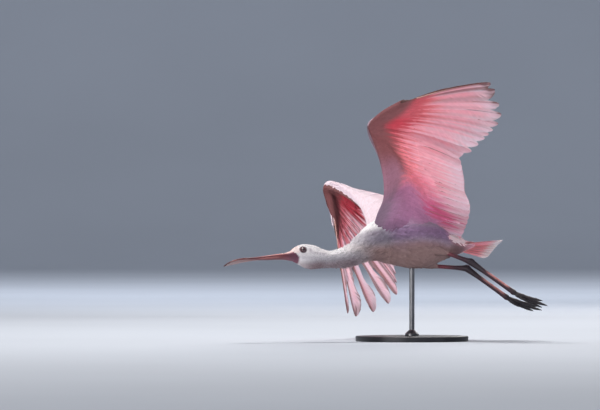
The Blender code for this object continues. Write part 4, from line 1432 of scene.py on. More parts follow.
@dataclass
class WingPlumage:
    """One wing's flight feathers and the coverts over both of its sides."""

    wing: Wing
    seed: int

    PRIMARY_OUTER = Keyed({0: 4.2, 9: 12.5})
    COVERT_LENGTH = Keyed({-0.5: 14, 0: 30, 1: 52, 5: 84, 9: 98, 12: 96, 16: 92, 22: 84, 26: 70, 29: 60})

    def build(self) -> list[bpy.types.Object]:
        """Makes the flight feathers, their shafts and the coverts."""
        self.markings = WingMarkings(self.wing.side)
        name = f"{self.wing.name}_wing"
        flight = self._flight()
        made = [
            flight.vanes.build(f"{name}_flight_feathers", FLIGHT_FINISH, 40),
            flight.shafts.build(f"{name}_feather_shafts", SHAFT_FINISH, 80),
        ]
        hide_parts(f"{name}_arm", f"{name}_hand")
        for face in Face:
            coat = self._coverts(face)
            made.append(coat.parts.build(f"{name}_{face.name.lower()}_coverts", COAT_FINISH, 40))
        return made

    def _share(self, index: Array, share: Array) -> Array:
        """Turns a share of the feather's own length into one of the whole chord."""
        bone = self.wing.bone_at(index)
        return bone + (1 - bone) * share

    def _flight(self) -> LongFeathers:
        """Primaries, secondaries and tertials."""

        def colour(index: Array, share: Array, face: Array) -> Array:
            at = self._share(index, share)
            shown = (face > 0)[..., None]
            return np.where(shown, self.markings.upper(index, at), self.markings.under(index, at))

        wing = self.wing
        flight = LongFeathers(wing.shaft, wing.normal, colour, self.seed)
        for index in range(LAST_FEATHER + 1):
            if index < PRIMARIES:
                pointed = index < len(wing.slots)
                outer = float(self.PRIMARY_OUTER(index))
                slot, end = wing.slots[index] if pointed else (1.0, 1.0)
                broad = wing.broad <= index < PRIMARIES - 1
                inner = 40.0 if broad else 36.0 if index == PRIMARIES - 1 else 26.0
                lap = 1.2 if broad else 1.08
                blunt = 0.94 if broad else 0.84
                grow = 0.28 if index else 0.08
                fit = Fit(outer, inner, grow, blunt, slot=slot, end=end, lap=lap)
            else:
                outer = 32.0 if index == PRIMARIES else 15.0
                fit = Fit(outer, 26.0, grow=0.22, taper=0.86)
            flight.add(index, fit, 1.0, (index + 1) / 30)
        return flight

    def _unwrap(self, face: Face) -> Callable[[Array, Array], Array]:
        """The wing's unwrap: index across and share of the chord along."""

        def place(index: Array, share: Array) -> Array:
            return np.stack([0.01 + (index + 0.5) / 30.5 * 0.97, 0.01 + share * 0.9], axis=-1)

        return place

    def _row(self, near: Callable[[Array], Array], spacing: float, bounds: tuple) -> Array:
        """Feather indices spread evenly along a row.

        Args:
            near: The row's share of the chord at some indices.
            spacing: Millimetres between feathers.
            bounds: First and last index.

        Returns:
            The indices.
        """
        index = np.linspace(*bounds, 200)
        line = self.wing.upper.point(index, near(index))
        run = np.concatenate([[0], np.cumsum(np.linalg.norm(np.diff(line, axis=0), axis=1))])
        count = max(int(run[-1] / (spacing * MM)), 2)
        return np.interp((np.arange(count) + 0.5) / count * run[-1], run, index)

    def _coverts(self, face: Face) -> Coat:
        """Coverts of one side, from the trailing rows to the leading edge."""
        wing = self.wing
        sheet = wing.upper if face is Face.UPPER else wing.under
        broad = Pattern(6, BROAD_OUTLINE, FRAYED)
        coat = Coat(sheet, broad, self.seed + 10 + face.value)
        marks = self.markings.upper if face is Face.UPPER else self.markings.under

        def colour(index: Array, share: Array, along: Array) -> Array:
            return marks(index, share) * (1 + 0.1 * (fade(0.5, 1.0, along)[..., None] - 0.4))

        unwrap = self._unwrap(face)
        for reach, width, tip in ((1.0, 15.0, 0.9), (0.66, 12.5, 1.5)):
            near = wing.bone_at
            index = self._row(near, width * 0.5, (0.1, 29.2))
            coat.add(
                index,
                near(index),
                self.COVERT_LENGTH(index) * reach,
                np.full(len(index), width),
                Lay(root=0.0, tip=tip, thick=0.16, mess=0.006, twist=0.03, shingle=0.5),
                colour,
                unwrap,
            )
        rows = 13
        coat.pattern = Pattern(2, SMALL_OUTLINE, FRAYED)
        for row in reversed(range(rows)):
            out = row / (rows - 1)
            length = 9 + 33 * out**1.5
            width = 4.5 + 6.0 * out

            def near(index: Array, out: float = out) -> Array:
                extra = 14 * MM / wing.chord(index)
                return 0.004 + (wing.bone_at(index) + extra) * out

            index = self._row(near, width * 0.48, (-0.45, 29.6))
            index = index + (row % 2) * 0.2
            small = 0.28 + 0.72 * fade(-0.45, 1.4, index)
            coat.add(
                index,
                near(index),
                length * small,
                width * small,
                Lay(root=-0.5, tip=0.5 + 0.6 * out, thick=0.1, mess=0.015, twist=0.06, shingle=0.12),
                colour,
                unwrap,
            )
        return coat


def loft(name: str, rings: Array) -> bpy.types.Object:
    """Models a closed form by extruding a circle ring by ring.

    Args:
        name: The object's name.
        rings: Points, over the rings and then round each ring.

    Returns:
        The form, with its place in its mesh.
    """
    rows, sides = rings.shape[:2]
    deselect()
    bpy.ops.mesh.primitive_circle_add(vertices=sides, radius=1, fill_type="NGON")
    made = bpy.context.object
    made.name = name
    bpy.ops.object.mode_set(mode="EDIT")
    bpy.ops.mesh.select_all(action="SELECT")
    for _ in range(rows - 1):
        bpy.ops.mesh.extrude_region_move(TRANSFORM_OT_translate={"value": (0, 0, 1)})
    bpy.ops.object.mode_set(mode="OBJECT")
    points = coordinates(made.data)
    row = np.round(points[:, 2]).astype(int)
    turn = np.arctan2(points[:, 1], points[:, 0]) / math.tau * sides
    column = np.round(turn).astype(int) % sides
    made.data.vertices.foreach_set("co", rings[row, column].ravel())
    made.data.update()
    deselect()
    made.select_set(True)
    bpy.context.view_layer.objects.active = made
    bpy.ops.object.mode_set(mode="EDIT")
    bpy.ops.mesh.select_all(action="SELECT")
    bpy.ops.mesh.normals_make_consistent(inside=False)
    bpy.ops.object.mode_set(mode="OBJECT")
    return made


def tube(points: Sequence[Array], radii: Sequence[float], sides: int, steps: int) -> Array:
    """Rings along a smooth path.

    Args:
        points: Level points on the path.
        radii: The radius at each, in millimetres.
        sides: Points round each ring.
        steps: Rings.

    Returns:
        Points, over the rings and then round each ring.
    """
    run = np.concatenate([[0], np.cumsum(np.linalg.norm(np.diff(points, axis=0), axis=1))])
    path = Keyed(dict(zip(run, points)))
    size = Keyed(dict(zip(run, radii)))
    at = np.linspace(0, run[-1], steps)
    centre = path(at)
    ahead = unit(np.gradient(centre, axis=0))
    across = unit(np.cross(ahead, np.array([0.0, 0.0, 1.0])))
    upward = np.cross(across, ahead)
    angle = np.linspace(0, math.tau, sides, endpoint=False)[None, :, None]
    ring = across[:, None] * np.cos(angle) + upward[:, None] * np.sin(angle)
    return centre[:, None] + ring * (size(at) * MM)[:, None, None]


def finished(
    made: bpy.types.Object,
    finish: Finish,
    colours: Array | Colour,
    bank: bool = True,
    crease: float = 60.0,
) -> bpy.types.Object:
    """Marks, dresses and places a modelled form.

    Args:
        made: The form.
        finish: What it is finished in.
        colours: One colour, or one for each vertex.
        bank: Whether the form is level and has to be banked.
        crease: The angle in degrees past which an edge shows.

    Returns:
        The piece.
    """
    mesh = made.data
    points = coordinates(mesh)
    paint(mesh, np.broadcast_to(np.asarray(colours, float), (len(points), 3)))
    if bank:
        mesh.vertices.foreach_set("co", placed(points).ravel())
        mesh.update()
    mesh.polygons.foreach_set("use_smooth", np.ones(len(mesh.polygons), bool))
    mesh.set_sharp_from_angle(angle=math.radians(crease))
    mesh.materials.clear()
    mesh.materials.append(finish.material())
    return made


def joined(name: str, forms: list[bpy.types.Object]) -> bpy.types.Object:
    """Joins forms into one object of that name."""
    deselect()
    for form in forms:
        form.select_set(True)
    bpy.context.view_layer.objects.active = forms[0]
    bpy.ops.object.join()
    forms[0].name = name
    return forms[0]


EYE_FORWARD = 283
EYE_UP = 9.5
EYE_OUT = 14.6
HEAD_LEAN = math.radians(20)
HEAD_ACROSS = np.array([0, math.cos(HEAD_LEAN), math.sin(HEAD_LEAN)])
HEAD_UP = np.array([0, -math.sin(HEAD_LEAN), math.cos(HEAD_LEAN)])


def eye_centre(side: int) -> Array:
    """Where an eye sits; -1 is the left one."""
    middle = level(EYE_FORWARD, 0, -34)
    return middle + (HEAD_UP * EYE_UP + HEAD_ACROSS * side * EYE_OUT) * MM


def gaze(side: int) -> Array:
    """The direction that an eye looks in."""
    return unit(HEAD_ACROSS * side + np.array([-0.28, 0, 0]))


@dataclass(frozen=True)
class BodyMarkings:
    """Colours of the head, neck, trunk and rump, by place on the level bird, with painted shade under the
    body, neck, chin and vent.
    """

    face: Colour = linear(108, 62, 80)
    lore: Colour = linear(232, 206, 200)
    # Dusky colour for the head's flecks and for the painted shadow of a crease.
    streak: Colour = linear(150, 132, 150)
    # Painted shade under the rump.
    vent_shade: Colour = linear(100, 64, 68)
    # Painted shade for the underside of the neck and head.
    chin_shade: Colour = linear(128, 100, 104)

    def height(self, points: Array) -> Array:
        """How far each place lies above the middle of the leaning head, in millimetres."""
        return (points - level(EYE_FORWARD, 0, -34)) @ HEAD_UP / MM

    def bare(self, points: Array) -> Array:
        """How far each place is bare skin of the face, from 0 to 1."""
        forward = -points[..., 0] / MM
        height = self.height(points)
        reach = 292 + 0.9 * np.maximum(height + 6, 0)
        gape = fade(reach, reach + 3, forward) * (1 - fade(0, 5, height))
        return np.maximum(gape, fade(303, 307, forward))

    def colours(self, points: Array) -> Array:
        """Colours at some places.

        Args:
            points: Level points.

        Returns:
            A colour for each point.
        """
        forward, side, up = -points[..., 0] / MM, points[..., 1] / MM, points[..., 2] / MM
        base = np.broadcast_to(SNOW, points.shape).copy()
        height = self.height(points)
        # Painted shade: the belly and the trunk's lower sides darker, as if lit from above.
        trunk = 1 - fade(92, 200, forward)
        base = blend(base, BELLY_SHADE, 0.9 * (1 - fade(-34, -8, up)) * trunk)
        base = blend(base, SHADE, 0.85 * (1 - fade(0, 26, up)) * fade(-34, -14, up) * trunk)
        # Painted shade under the neck and the lower head, darkest along the underside.
        low = fade(110, 170, forward) * (1 - fade(250, 300, forward))
        beneath = up + 0.1 * (forward - 180)
        base = blend(base, SHADE, 0.4 * low * (1 - fade(-52, -34, beneath)))
        base = blend(base, self.chin_shade, 0.7 * low * (1 - fade(-60, -48, beneath)))
        chin_shade = fade(226, 246, forward) * (1 - fade(-26, -12, height))
        base = blend(base, self.chin_shade, 0.6 * chin_shade)
        flank = (1 - fade(48, 84, forward)) * fade(-112, -70, forward)
        flank = flank * fade(14, 30, np.abs(side)) * fade(-48, 0, up)
        base = blend(base, linear(146, 106, 148), 0.7 * flank)
        # Painted shade: the rump's underside dark brown, blending to blush on top.
        rump = 1 - fade(-100, -66, forward)
        base = blend(base, blend(self.vent_shade, BLUSH, fade(-26, -8, up)), 0.8 * rump)
        patchy = 0.5 + 0.5 * np.sin(forward * 1.1) * np.sin(height * 1.7 + forward * 0.5)
        # The line along the lower head is a painted shadow of a crease; the ear and cheek marks below use the
        # same dusky colour.
        line = np.exp(-(((height - 1.5 - (forward - 262) * 0.14) / 3.0) ** 2))
        line = line * fade(222, 238, forward) * (1 - fade(262, 272, forward))
        base = blend(base, self.streak, 0.6 * line * patchy)
        ear = np.exp(-(((forward - 266) / 3.4) ** 2) - ((height - 8) / 5.0) ** 2)
        base = blend(base, self.streak, (0.35 + 0.35 * patchy) * ear)
        cheek = fade(-16, -9, height) * (1 - fade(-9, -3, height)) * fade(250, 262, forward)
        base = blend(base, self.streak, 0.35 * cheek * patchy * (1 - fade(284, 292, forward)))
        lores = fade(288, 294, forward) * fade(0, 4, height)
        base = blend(base, self.lore, 0.7 * lores)
        base = blend(base, self.face, self.bare(points) * (1 - 0.85 * fade(1.5, 5, height)))
        around = np.min(
            [np.linalg.norm(points - eye_centre(s), axis=-1) for s in (-1, 1)], axis=0
        )
        return blend(base, linear(70, 34, 50), 0.95 * (1 - fade(7.8 * MM, 9.6 * MM, around)))


LEGS = {
    "left": {
        "side": -1,
        "knee": (22, 20, -14),
        "feather_end": (-66, 27, -47),
        "ankle": (-125, 18, -66),
        "foot": (-208, 18, -148),
        "toe_tip": (-283, 24, -194),
    },
    "right": {
        "side": 1,
        "knee": (22, 20, -14),
        "feather_end": (-58, 24, -49),
        "ankle": (-127, 14, -62),
        "foot": (-204, 14, -140),
        "toe_tip": (-287, 19, -180),
    },
}
THIGH_RADII = (15, 16, 12, 7.5, 6.0)


def thigh_path(leg: dict[str, Any]) -> list[Array]:
    """Points down the feathered thigh of a leg."""
    knee = level(*leg["knee"], leg["side"])
    end = level(*leg["feather_end"], leg["side"])
    return [knee * (1 - share) + end * share for share in (0.0, 0.48, 0.8, 0.96, 1.0)]


@dataclass
class Skin:
    """One skin under all the feathers, with the folds round the eyes and the gape."""

    body: Body
    wings: list[Wing]
    voxel: float = 1.9 * MM
    inset: Keyed = field(
        default_factory=lambda: Keyed({0: 0.6, 3: 1.2, 5: 1.8, 8: 3.0, 10: 4.5, 14: 3.5, 16: 1.5})
    )

    def build(self) -> bpy.types.Object:
        """Models the forms, fuses them into one surface and marks it."""
        forms = [self._trunk(), *(self._wing(wing) for wing in self.wings)]
        for name, leg in LEGS.items():
            radii = [radius - 1.5 for radius in THIGH_RADII]
            forms.append(loft(f"{name}_thigh_form", tube(thigh_path(leg), radii, 24, 24)))
        for side in (-1, 1):
            forms.append(self._lid(side))
        skin = joined("skin", forms)
        apply_modifier(skin, "REMESH", mode="VOXEL", voxel_size=self.voxel)
        apply_modifier(skin, "SMOOTH", factor=0.5, iterations=4)
        self._fold(skin)
        points = coordinates(skin.data)
        colours = BodyMarkings().colours(points)
        for wing in self.wings:
            colours = self._mark_wing(points, colours, wing)
        made = finished(skin, SKIN_FINISH, colours, crease=180)
        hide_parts("torso", "neck", "head", "left_thigh", "right_thigh")
        return made

    def _trunk(self) -> bpy.types.Object:
        """Head, neck, trunk and rump."""
        stations = np.linspace(0.02, self.body.last, 130)[:, None]
        angles = np.linspace(0, math.tau, 56, endpoint=False)[None, :]
        inset = self.inset(stations) * MM
        return loft("trunk_form", self.body.ring(angles, stations, inset))

    def _wing(self, wing: Wing) -> bpy.types.Object:
        """Arm and hand of one wing, from edge to muscle."""
        rings = []
        for index in np.arange(-0.2, 29.6, 0.5):
            at = np.array([[index]])
            length = np.linalg.norm(wing.tip(at) - wing.roots(at))
            reach = float(CORE_REACH(index)) * MM / length * 0.92
            places = np.concatenate([np.linspace(-0.93, 0, 10), np.linspace(0.15, 1, 6) * reach])
            over, under = (
                wing.outline(at * np.ones((1, len(places))), places[None, :], face, 1.8 * MM)[0]
                for face in Face
            )
            rings.append(np.concatenate([over, under[::-1]]))
        return loft(f"{wing.name}_wing_form", np.array(rings))

    def _lid(self, side: int) -> bpy.types.Object:
        """The ring of both lids round one eye, a little almond-shaped."""
        deselect()
        bpy.ops.mesh.primitive_torus_add(
            major_segments=48,
            minor_segments=12,
            major_radius=5.9 * MM,
            minor_radius=1.5 * MM,
        )
        lid = bpy.context.object
        turn = Vector(gaze(side)).to_track_quat("Z", "Y").to_matrix().to_4x4()
        place = Matrix.Translation(Vector(eye_centre(side) + gaze(side) * 2.6 * MM))
        lid.data.transform(place @ turn @ Matrix.Diagonal((1.02, 0.95, 1, 1)))
        return lid

    def _fold(self, skin: bpy.types.Object) -> None:
        """Presses in the gape's fold and the hollow in front of each eye."""
        points = coordinates(skin.data)
        middle = self.body.centres(self.body.station(-points[:, 0] / MM)) * MM
        inward = unit(middle - points)
        forward = -points[:, 0] / MM
        height = BodyMarkings().height(points)
        line = np.exp(-(((height + 5.5 + (forward - 300) * 0.12) / 1.5) ** 2))
        gape = line * fade(284, 292, forward) * 1.5
        hollow = np.exp(-(((height - 6) / 4.5) ** 2) - ((forward - 297) / 5) ** 2) * 1.4
        points += inward * ((gape + hollow) * MM)[:, None]
        skin.data.vertices.foreach_set("co", points.ravel())
        skin.data.update()

    def _mark_wing(self, points: Array, colours: Array, wing: Wing) -> Array:
        """Marks the skin's places on a wing like the feathers over them."""
        outward = points[:, 1] * wing.side / MM
        near = np.nonzero((outward > 30) & (points[:, 2] > 22 * MM))[0]
        index, share = np.meshgrid(wing.INDICES, wing.SHARES[:60], indexing="ij")
        flat = np.concatenate([s.points[:, :60].reshape(-1, 3) for s in (wing.upper, wing.under)])
        nearest = nearest_rows(points[near], flat)
        half = index.size
        at = nearest % half
        marks = WingMarkings(wing.side)
        over = marks.upper(index.ravel()[at], share.ravel()[at])
        under = marks.under(index.ravel()[at], share.ravel()[at])
        colours[near] = np.where((nearest < half)[:, None], over, under)
        return colours


def nearest_rows(points: Array, others: Array) -> Array:
    """The number of the nearest of the other points to each point."""
    from mathutils.kdtree import KDTree

    tree = KDTree(len(others))
    for number, other in enumerate(others):
        tree.insert(other, number)
    tree.balance()
    return np.array([tree.find(point)[1] for point in points], int)


@dataclass
class BodyPlumage:
    """Small feathers of the head, neck, trunk, rump and thighs."""

    body: Body
    skin: bpy.types.Object
    seed: int

    LENGTH = Keyed({0: 3.4, 2: 4.6, 4: 7.0, 6: 10, 8: 15, 10: 21, 12: 24, 14: 25, 16: 24})
    ASPECT = Keyed({0: 0.4, 4: 0.34, 8: 0.34, 12: 0.38, 16: 0.42})
    ROOT = Keyed({0: -0.5, 4: -0.8, 8: -1.6, 12: -2.0, 16: -1.6})
    TIP = Keyed({0: 0.25, 2: 0.4, 4: 0.9, 6: 1.3, 8: 0.9, 10: 0.6, 12: 0.4, 16: 0.8})
    MESS = Keyed({0: 0.02, 2: 0.04, 4: 0.12, 6: 0.15, 8: 0.08, 10: 0.05, 12: 0.03, 16: 0.03})
    TONE = Keyed({0: 0.04, 2: 0.06, 4: 0.13, 7: 0.12, 9: 0.08, 16: 0.07})
    TWIST = Keyed({0: 0.08, 4: 0.12, 7: 0.18, 9: 0.12, 12: 0.08, 16: 0.06})

    def __post_init__(self) -> None:
        """Reads the skin into a tree of its faces and models the tuft that all copy."""
        graph = bpy.context.evaluated_depsgraph_get()
        self.tree = BVHTree.FromObject(self.skin, graph)
        self.tuft = Pattern(2, SMALL_OUTLINE, FRAYED)

    def build(self) -> list[bpy.types.Object]:
        """Makes the coat in pieces, from the head back, then the thighs and the flank's tuft."""
        stations = [15.7]
        while stations[-1] > 0.35:
            length = float(self.LENGTH(stations[-1])) * 0.27 * MM
            _, ahead = self.body.sheet.scale(np.array(math.pi), np.array(stations[-1]))
            stations.append(stations[-1] - length / float(ahead))
        made = []
        for name, start, end in (
            ("head", 0.3, 2.0),
            ("nape", 2.0, 3.8),
            ("neck", 3.8, 8.6),
            ("trunk", 8.6, 14.2),
            ("rump", 14.2, 15.8),
        ):
            coat = Coat(self.body.sheet, self.tuft, self.seed + len(name))
            for row, station in enumerate(stations):
                if start <= station < end:
                    self._row(coat, station, row)
            made.append(coat.parts.build(f"{name}_feathers", COAT_FINISH, 50))
        made += [self._thigh(name) for name in LEGS]
        made += [self._flank_tuft(side) for side in (-1, 1)]
        return made

    def _colour(self, sheet: Sheet) -> Callable[[Array, Array, Array], Array]:
        """The markings at places of a sheet, a little paler towards each tuft's tip."""
        marks = BodyMarkings()

        def colour(first: Array, second: Array, along: Array) -> Array:
            points = sheet.point(first, second)
            return marks.colours(points) * (1 + 0.12 * (fade(0.4, 1, along)[..., None] - 0.5))

        return colour

    def _row(self, coat: Coat, station: float, row: int) -> None:
        """Lays one ring of tufts."""
        sheet = self.body.sheet
        length = float(self.LENGTH(station))
        width = length * float(self.ASPECT(station))
        ring = self.body.ring(np.linspace(0, math.tau, 60), np.array(station))
        run = np.concatenate([[0], np.cumsum(np.linalg.norm(np.diff(ring, axis=0), axis=1))])
        count = int(run[-1] / (width * 0.5 * MM))
        place = (np.arange(count) + 0.5 * (row % 2)) + coat.random.uniform(-0.3, 0.3, count)
        angle = np.interp(place / count * run[-1] % run[-1], run, np.linspace(0, math.tau, 60))
        _, ahead = sheet.scale(np.array(math.pi), np.array(station))
        at = station + coat.random.uniform(-0.4, 0.4, count) * length * 0.27 * MM / float(ahead)
        keep = self._free(sheet.point(angle, at), at)
        lay = Lay(
            root=float(self.ROOT(station)),
            tip=float(self.TIP(station)),
            thick=0.08 + 0.006 * length,
            mess=float(self.MESS(station)),
            tone=float(self.TONE(station)),
            twist=float(self.TWIST(station)),
            shingle=0.05 + 0.006 * length,
        )

        def unwrap(first: Array, second: Array) -> Array:
            return np.stack([first / math.tau % 1, 0.01 + second / 17 * 0.97], axis=-1)

        sizes = (np.full(keep.sum(), length), np.full(keep.sum(), width))
        coat.add(angle[keep], at[keep], *sizes, lay, self._colour(sheet), unwrap)

    def _free(self, points: Array, stations: Array) -> Array:
        """Which roots grow a tuft: not on bare skin, at an eye or deep under a wing."""
        around = np.min([np.linalg.norm(points - eye_centre(s), axis=-1) for s in (-1, 1)], axis=0)
        keep = (around > 8.4 * MM) & (BodyMarkings().bare(points) < 0.5)
        world = placed(points)
        for number in np.nonzero(keep & (stations > 8.5) & (stations < 14))[0]:
            found = self.tree.find_nearest(world[number])
            inside = (Vector(world[number]) - found[0]).dot(found[1]) < 0
            if inside and found[3] > 5.0 * MM:
                keep[number] = False
        return keep

    def _thigh(self, name: str) -> bpy.types.Object:
        """Covers one thigh down to the bare shin."""
        radii = [radius - 0.6 for radius in THIGH_RADII]
        sides, steps = 36, 31
        rings = tube(thigh_path(LEGS[name]), radii, sides, steps)
        angle = np.linspace(-math.pi, 2 * math.pi, sides * 3 // 2 + 1)
        order = np.round(angle / math.tau * sides).astype(int) % sides
        grid = np.swapaxes(rings[:, order], 0, 1)
        along = np.linspace(0, 1, steps)
        middle = rings.mean(axis=1)[None]
        sheet = Sheet(grid, angle, along, grid - middle)
        coat = Coat(sheet, self.tuft, self.seed + len(name))

        def unwrap(first: Array, second: Array) -> Array:
            return np.stack([first / math.tau % 1, 0.01 + second * 0.9], axis=-1)

        rows = 14
        for row in range(rows):
            out = 1 - row / (rows - 1)
            length = 9.0 + 9.0 * (1 - out)
            width = length * 0.36
            count = int(18 + 12 * (1 - out))
            first = (np.arange(count) + 0.5 * (row % 2)) / count * math.tau
            first = first + coat.random.uniform(-0.1, 0.1, count)
            second = np.full(count, 0.3 + 0.68 * out)
            lay = Lay(root=-0.8, tip=-0.2 + 0.8 * (1 - out), thick=0.14, mess=0.05, twist=0.14)
            sizes = (np.full(count, length), np.full(count, width))
            coat.add(first, second, *sizes, lay, self._colour(sheet), unwrap)
        return coat.parts.build(f"{name}_thigh_feathers", COAT_FINISH, 50)

    def _flank_tuft(self, side: int) -> bpy.types.Object:
        """The loose white plumes that stand out beside the tail's root."""
        sheet = self.body.sheet
        coat = Coat(sheet, self.tuft, self.seed + 90 + side)
        count = 110
        spread = coat.random.uniform(-1, 1, (3, count))
        first = (math.pi if side < 0 else 0.0) + side * -1 * (0.1 + 0.16 * spread[0])
        second = 13.35 + 0.7 * spread[1]

        def colour(one: Array, two: Array, along: Array) -> Array:
            base = np.broadcast_to(SNOW, (*np.shape(two), 3))
            return blend(base, BLUSH, 0.3 + 0.4 * (1 - fade(0.2, 0.8, along)))

        def unwrap(one: Array, two: Array) -> Array:
            return np.stack([one / math.tau % 1, 0.01 + two / 17 * 0.97], axis=-1)

        lay = Lay(root=-1.0, tip=2.6, thick=0.14, mess=0.06, twist=0.14)
        sizes = (22 + 5 * spread[2], np.full(count, 3.4))
        coat.add(first, second, *sizes, lay, colour, unwrap, 0.1 * spread[0])
        name = "left" if side < 0 else "right"
        return coat.parts.build(f"{name}_flank_plumes", COAT_FINISH, 50)


@dataclass
class Axillaries:
    """Feathers of one armpit, laid along the body over the hollow under the wing."""

    body: Body
    wing: Wing
    seed: int

    def build(self) -> bpy.types.Object:
        """Lays rows from the flank up to the wing's underside."""
        run = np.linspace(-0.05, 1.1, 60)
        rise = np.linspace(-0.1, 1.1, 25)
        sheet = self._sheet(rise, run)
        coat = Coat(sheet, Pattern(3, PLUME_OUTLINE, FRAYED), self.seed)
        marks = WingMarkings(self.wing.side)

        def colour(first: Array, second: Array, along: Array) -> Array:
            """Lilac like the wing's root, greyer towards the flank; both carry their painted shade."""
            high = marks.under(27 - 2 * first, 0.1 + 0.8 * second)
            low = BodyMarkings().colours(sheet.point(first, second))
            base = blend(high, low, 1 - fade(0.1, 0.6, first))
            return base * (1 + 0.12 * (fade(0.4, 1, along)[..., None] - 0.5))

        def unwrap(first: Array, second: Array) -> Array:
            return np.stack([0.02 + first * 0.8, 0.02 + second * 0.8], axis=-1)

        rows = 34
        for row in range(rows):
            out = 1 - row / (rows - 1)
            second = 0.02 + 0.86 * out
            length = 15 + 14 * out
            width = 5.0 + 2.0 * out
            _, count = 0, int(14 + 8 * (1 - out))
            first = np.linspace(-0.02, 1.02, count) + coat.random.uniform(-0.02, 0.02, count)
            at = np.full(count, second) + coat.random.uniform(-0.012, 0.012, count)
            sizes = (np.full(count, length), np.full(count, width))
            lay = Lay(root=-1.6, tip=0.5, thick=0.12, mess=0.02, twist=0.06, shingle=0.1)
            coat.add(first, at, *sizes, lay, colour, unwrap)
        return coat.parts.build(f"{self.wing.name}_axillaries", COAT_FINISH, 50)

    def _sheet(self, rise: Array, run: Array) -> Sheet:
        """A hollow sheet between the flank and the wing's underside.

        Args:
            rise: Shares of the way from the flank to the wing.
            run: Shares of the way from the breast to the rump.

        Returns:
            The sheet, which faces outwards.
        """
        side = self.wing.side
        station = 9.1 + 5.0 * run
        angle = (math.pi + 0.25) if side < 0 else -0.25
        flank = self.body.ring(np.full_like(run, angle), station)
        under = self.wing.under.point(np.full_like(run, 24.6), 0.05 + 0.85 * run)
        share = rise[:, None, None]
        points = flank[None] * (1 - share) + under[None] * share
        outward = np.broadcast_to(np.array([0.0, side * 0.9, -0.3]), points.shape)
        hollow = np.sin(math.pi * np.clip(rise, 0, 1))[:, None, None] * -2.0 * MM
        points = points + unit(outward) * hollow
        return Sheet(points, rise, run, outward)


@dataclass
class TailPlumage:
    """The tail's fan with the coverts over and under its root."""

    tail: Tail
    seed: int

    def build(self) -> list[bpy.types.Object]:
        """Makes the fan, its shafts and both sides' coverts."""
        tail = self.tail

        def colour(index: Array, share: Array, face: Array) -> Array:
            """Salmon pink with paler edges and whitish tips."""
            base = np.broadcast_to(linear(232, 122, 136), (*np.shape(share), 3)).copy()
            base = blend(base, BLUSH, 0.7 * fade(0.3, 0.75, share))
            ragged = share + 0.05 * np.sin(index * 11.0) + 0.03 * np.sin(index * 29.0)
            return blend(base, SNOW, 0.95 * fade(0.74, 0.9, ragged))

        fan = LongFeathers(tail.shaft, tail.normal, colour, self.seed)
        for index in range(tail.feathers):
            rank = 1.0 if index < tail.top else -1.0
            narrow, wide = 10.0, 17.0
            sizes = (narrow, wide) if rank > 0 else (wide, narrow)
            fan.add(index, Fit(*sizes, grow=0.3, taper=0.9), rank, (index + 1) / 30)
        made = [
            fan.vanes.build("tail_feathers", FLIGHT_FINISH, 40),
            fan.shafts.build("tail_feather_shafts", SHAFT_FINISH, 80),
        ]
        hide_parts("tail")
        for face in Face:
            coat = self._coverts(face)
            made.append(coat.parts.build(f"tail_{face.name.lower()}_coverts", COAT_FINISH, 40))
        return made

    def _coverts(self, face: Face) -> Coat:
        """Coverts of one side."""
        index = np.linspace(-1.5, 12.5, 57)
        share = np.linspace(-0.2, 1.1, 53)
        one, two = np.meshgrid(index, share, indexing="ij")
        outward = self.tail.normal(one, two) * face.value
        sheet = Sheet(self.tail.shaft(one, two), index, share, outward)
        coat = Coat(sheet, Pattern(4, PLUME_OUTLINE, FRAYED), self.seed + face.value)

        def colour(first: Array, second: Array, along: Array) -> Array:
            """White at the rump, blushing towards the fan."""
            base = np.broadcast_to(SNOW, (*np.shape(second), 3)).copy()
            base = blend(base, BLUSH, 0.55 + 0.35 * fade(0.0, 0.5, second))
            return blend(base, SNOW, 0.6 * fade(0.8, 1.0, along))

        def unwrap(first: Array, second: Array) -> Array:
            """The fan's own unwrap."""
            return np.stack([0.02 + (first + 1.5) / 14.5 * 0.95, 0.22 + second * 0.7], axis=-1)

        rows = 6
        for row in range(rows):
            out = 1 - row / (rows - 1)
            count = int(13 + 3 * out)
            first = np.linspace(-0.5, 11.5, count) + (row % 2) * 0.4
            second = np.full(count, -0.16 + 0.24 * out)
            length = np.full(count, 22 + 14 * out) * coat.random.uniform(0.85, 1.1, count)
            width = np.full(count, 8 + 3 * out)
            layer = 1.4 + 0.6 * row
            lay = Lay(root=layer * 0.8, tip=layer + 0.9, thick=0.18, mess=0.02, shingle=0.3)
            coat.add(first, second, length, width, lay, colour, unwrap)
        return coat


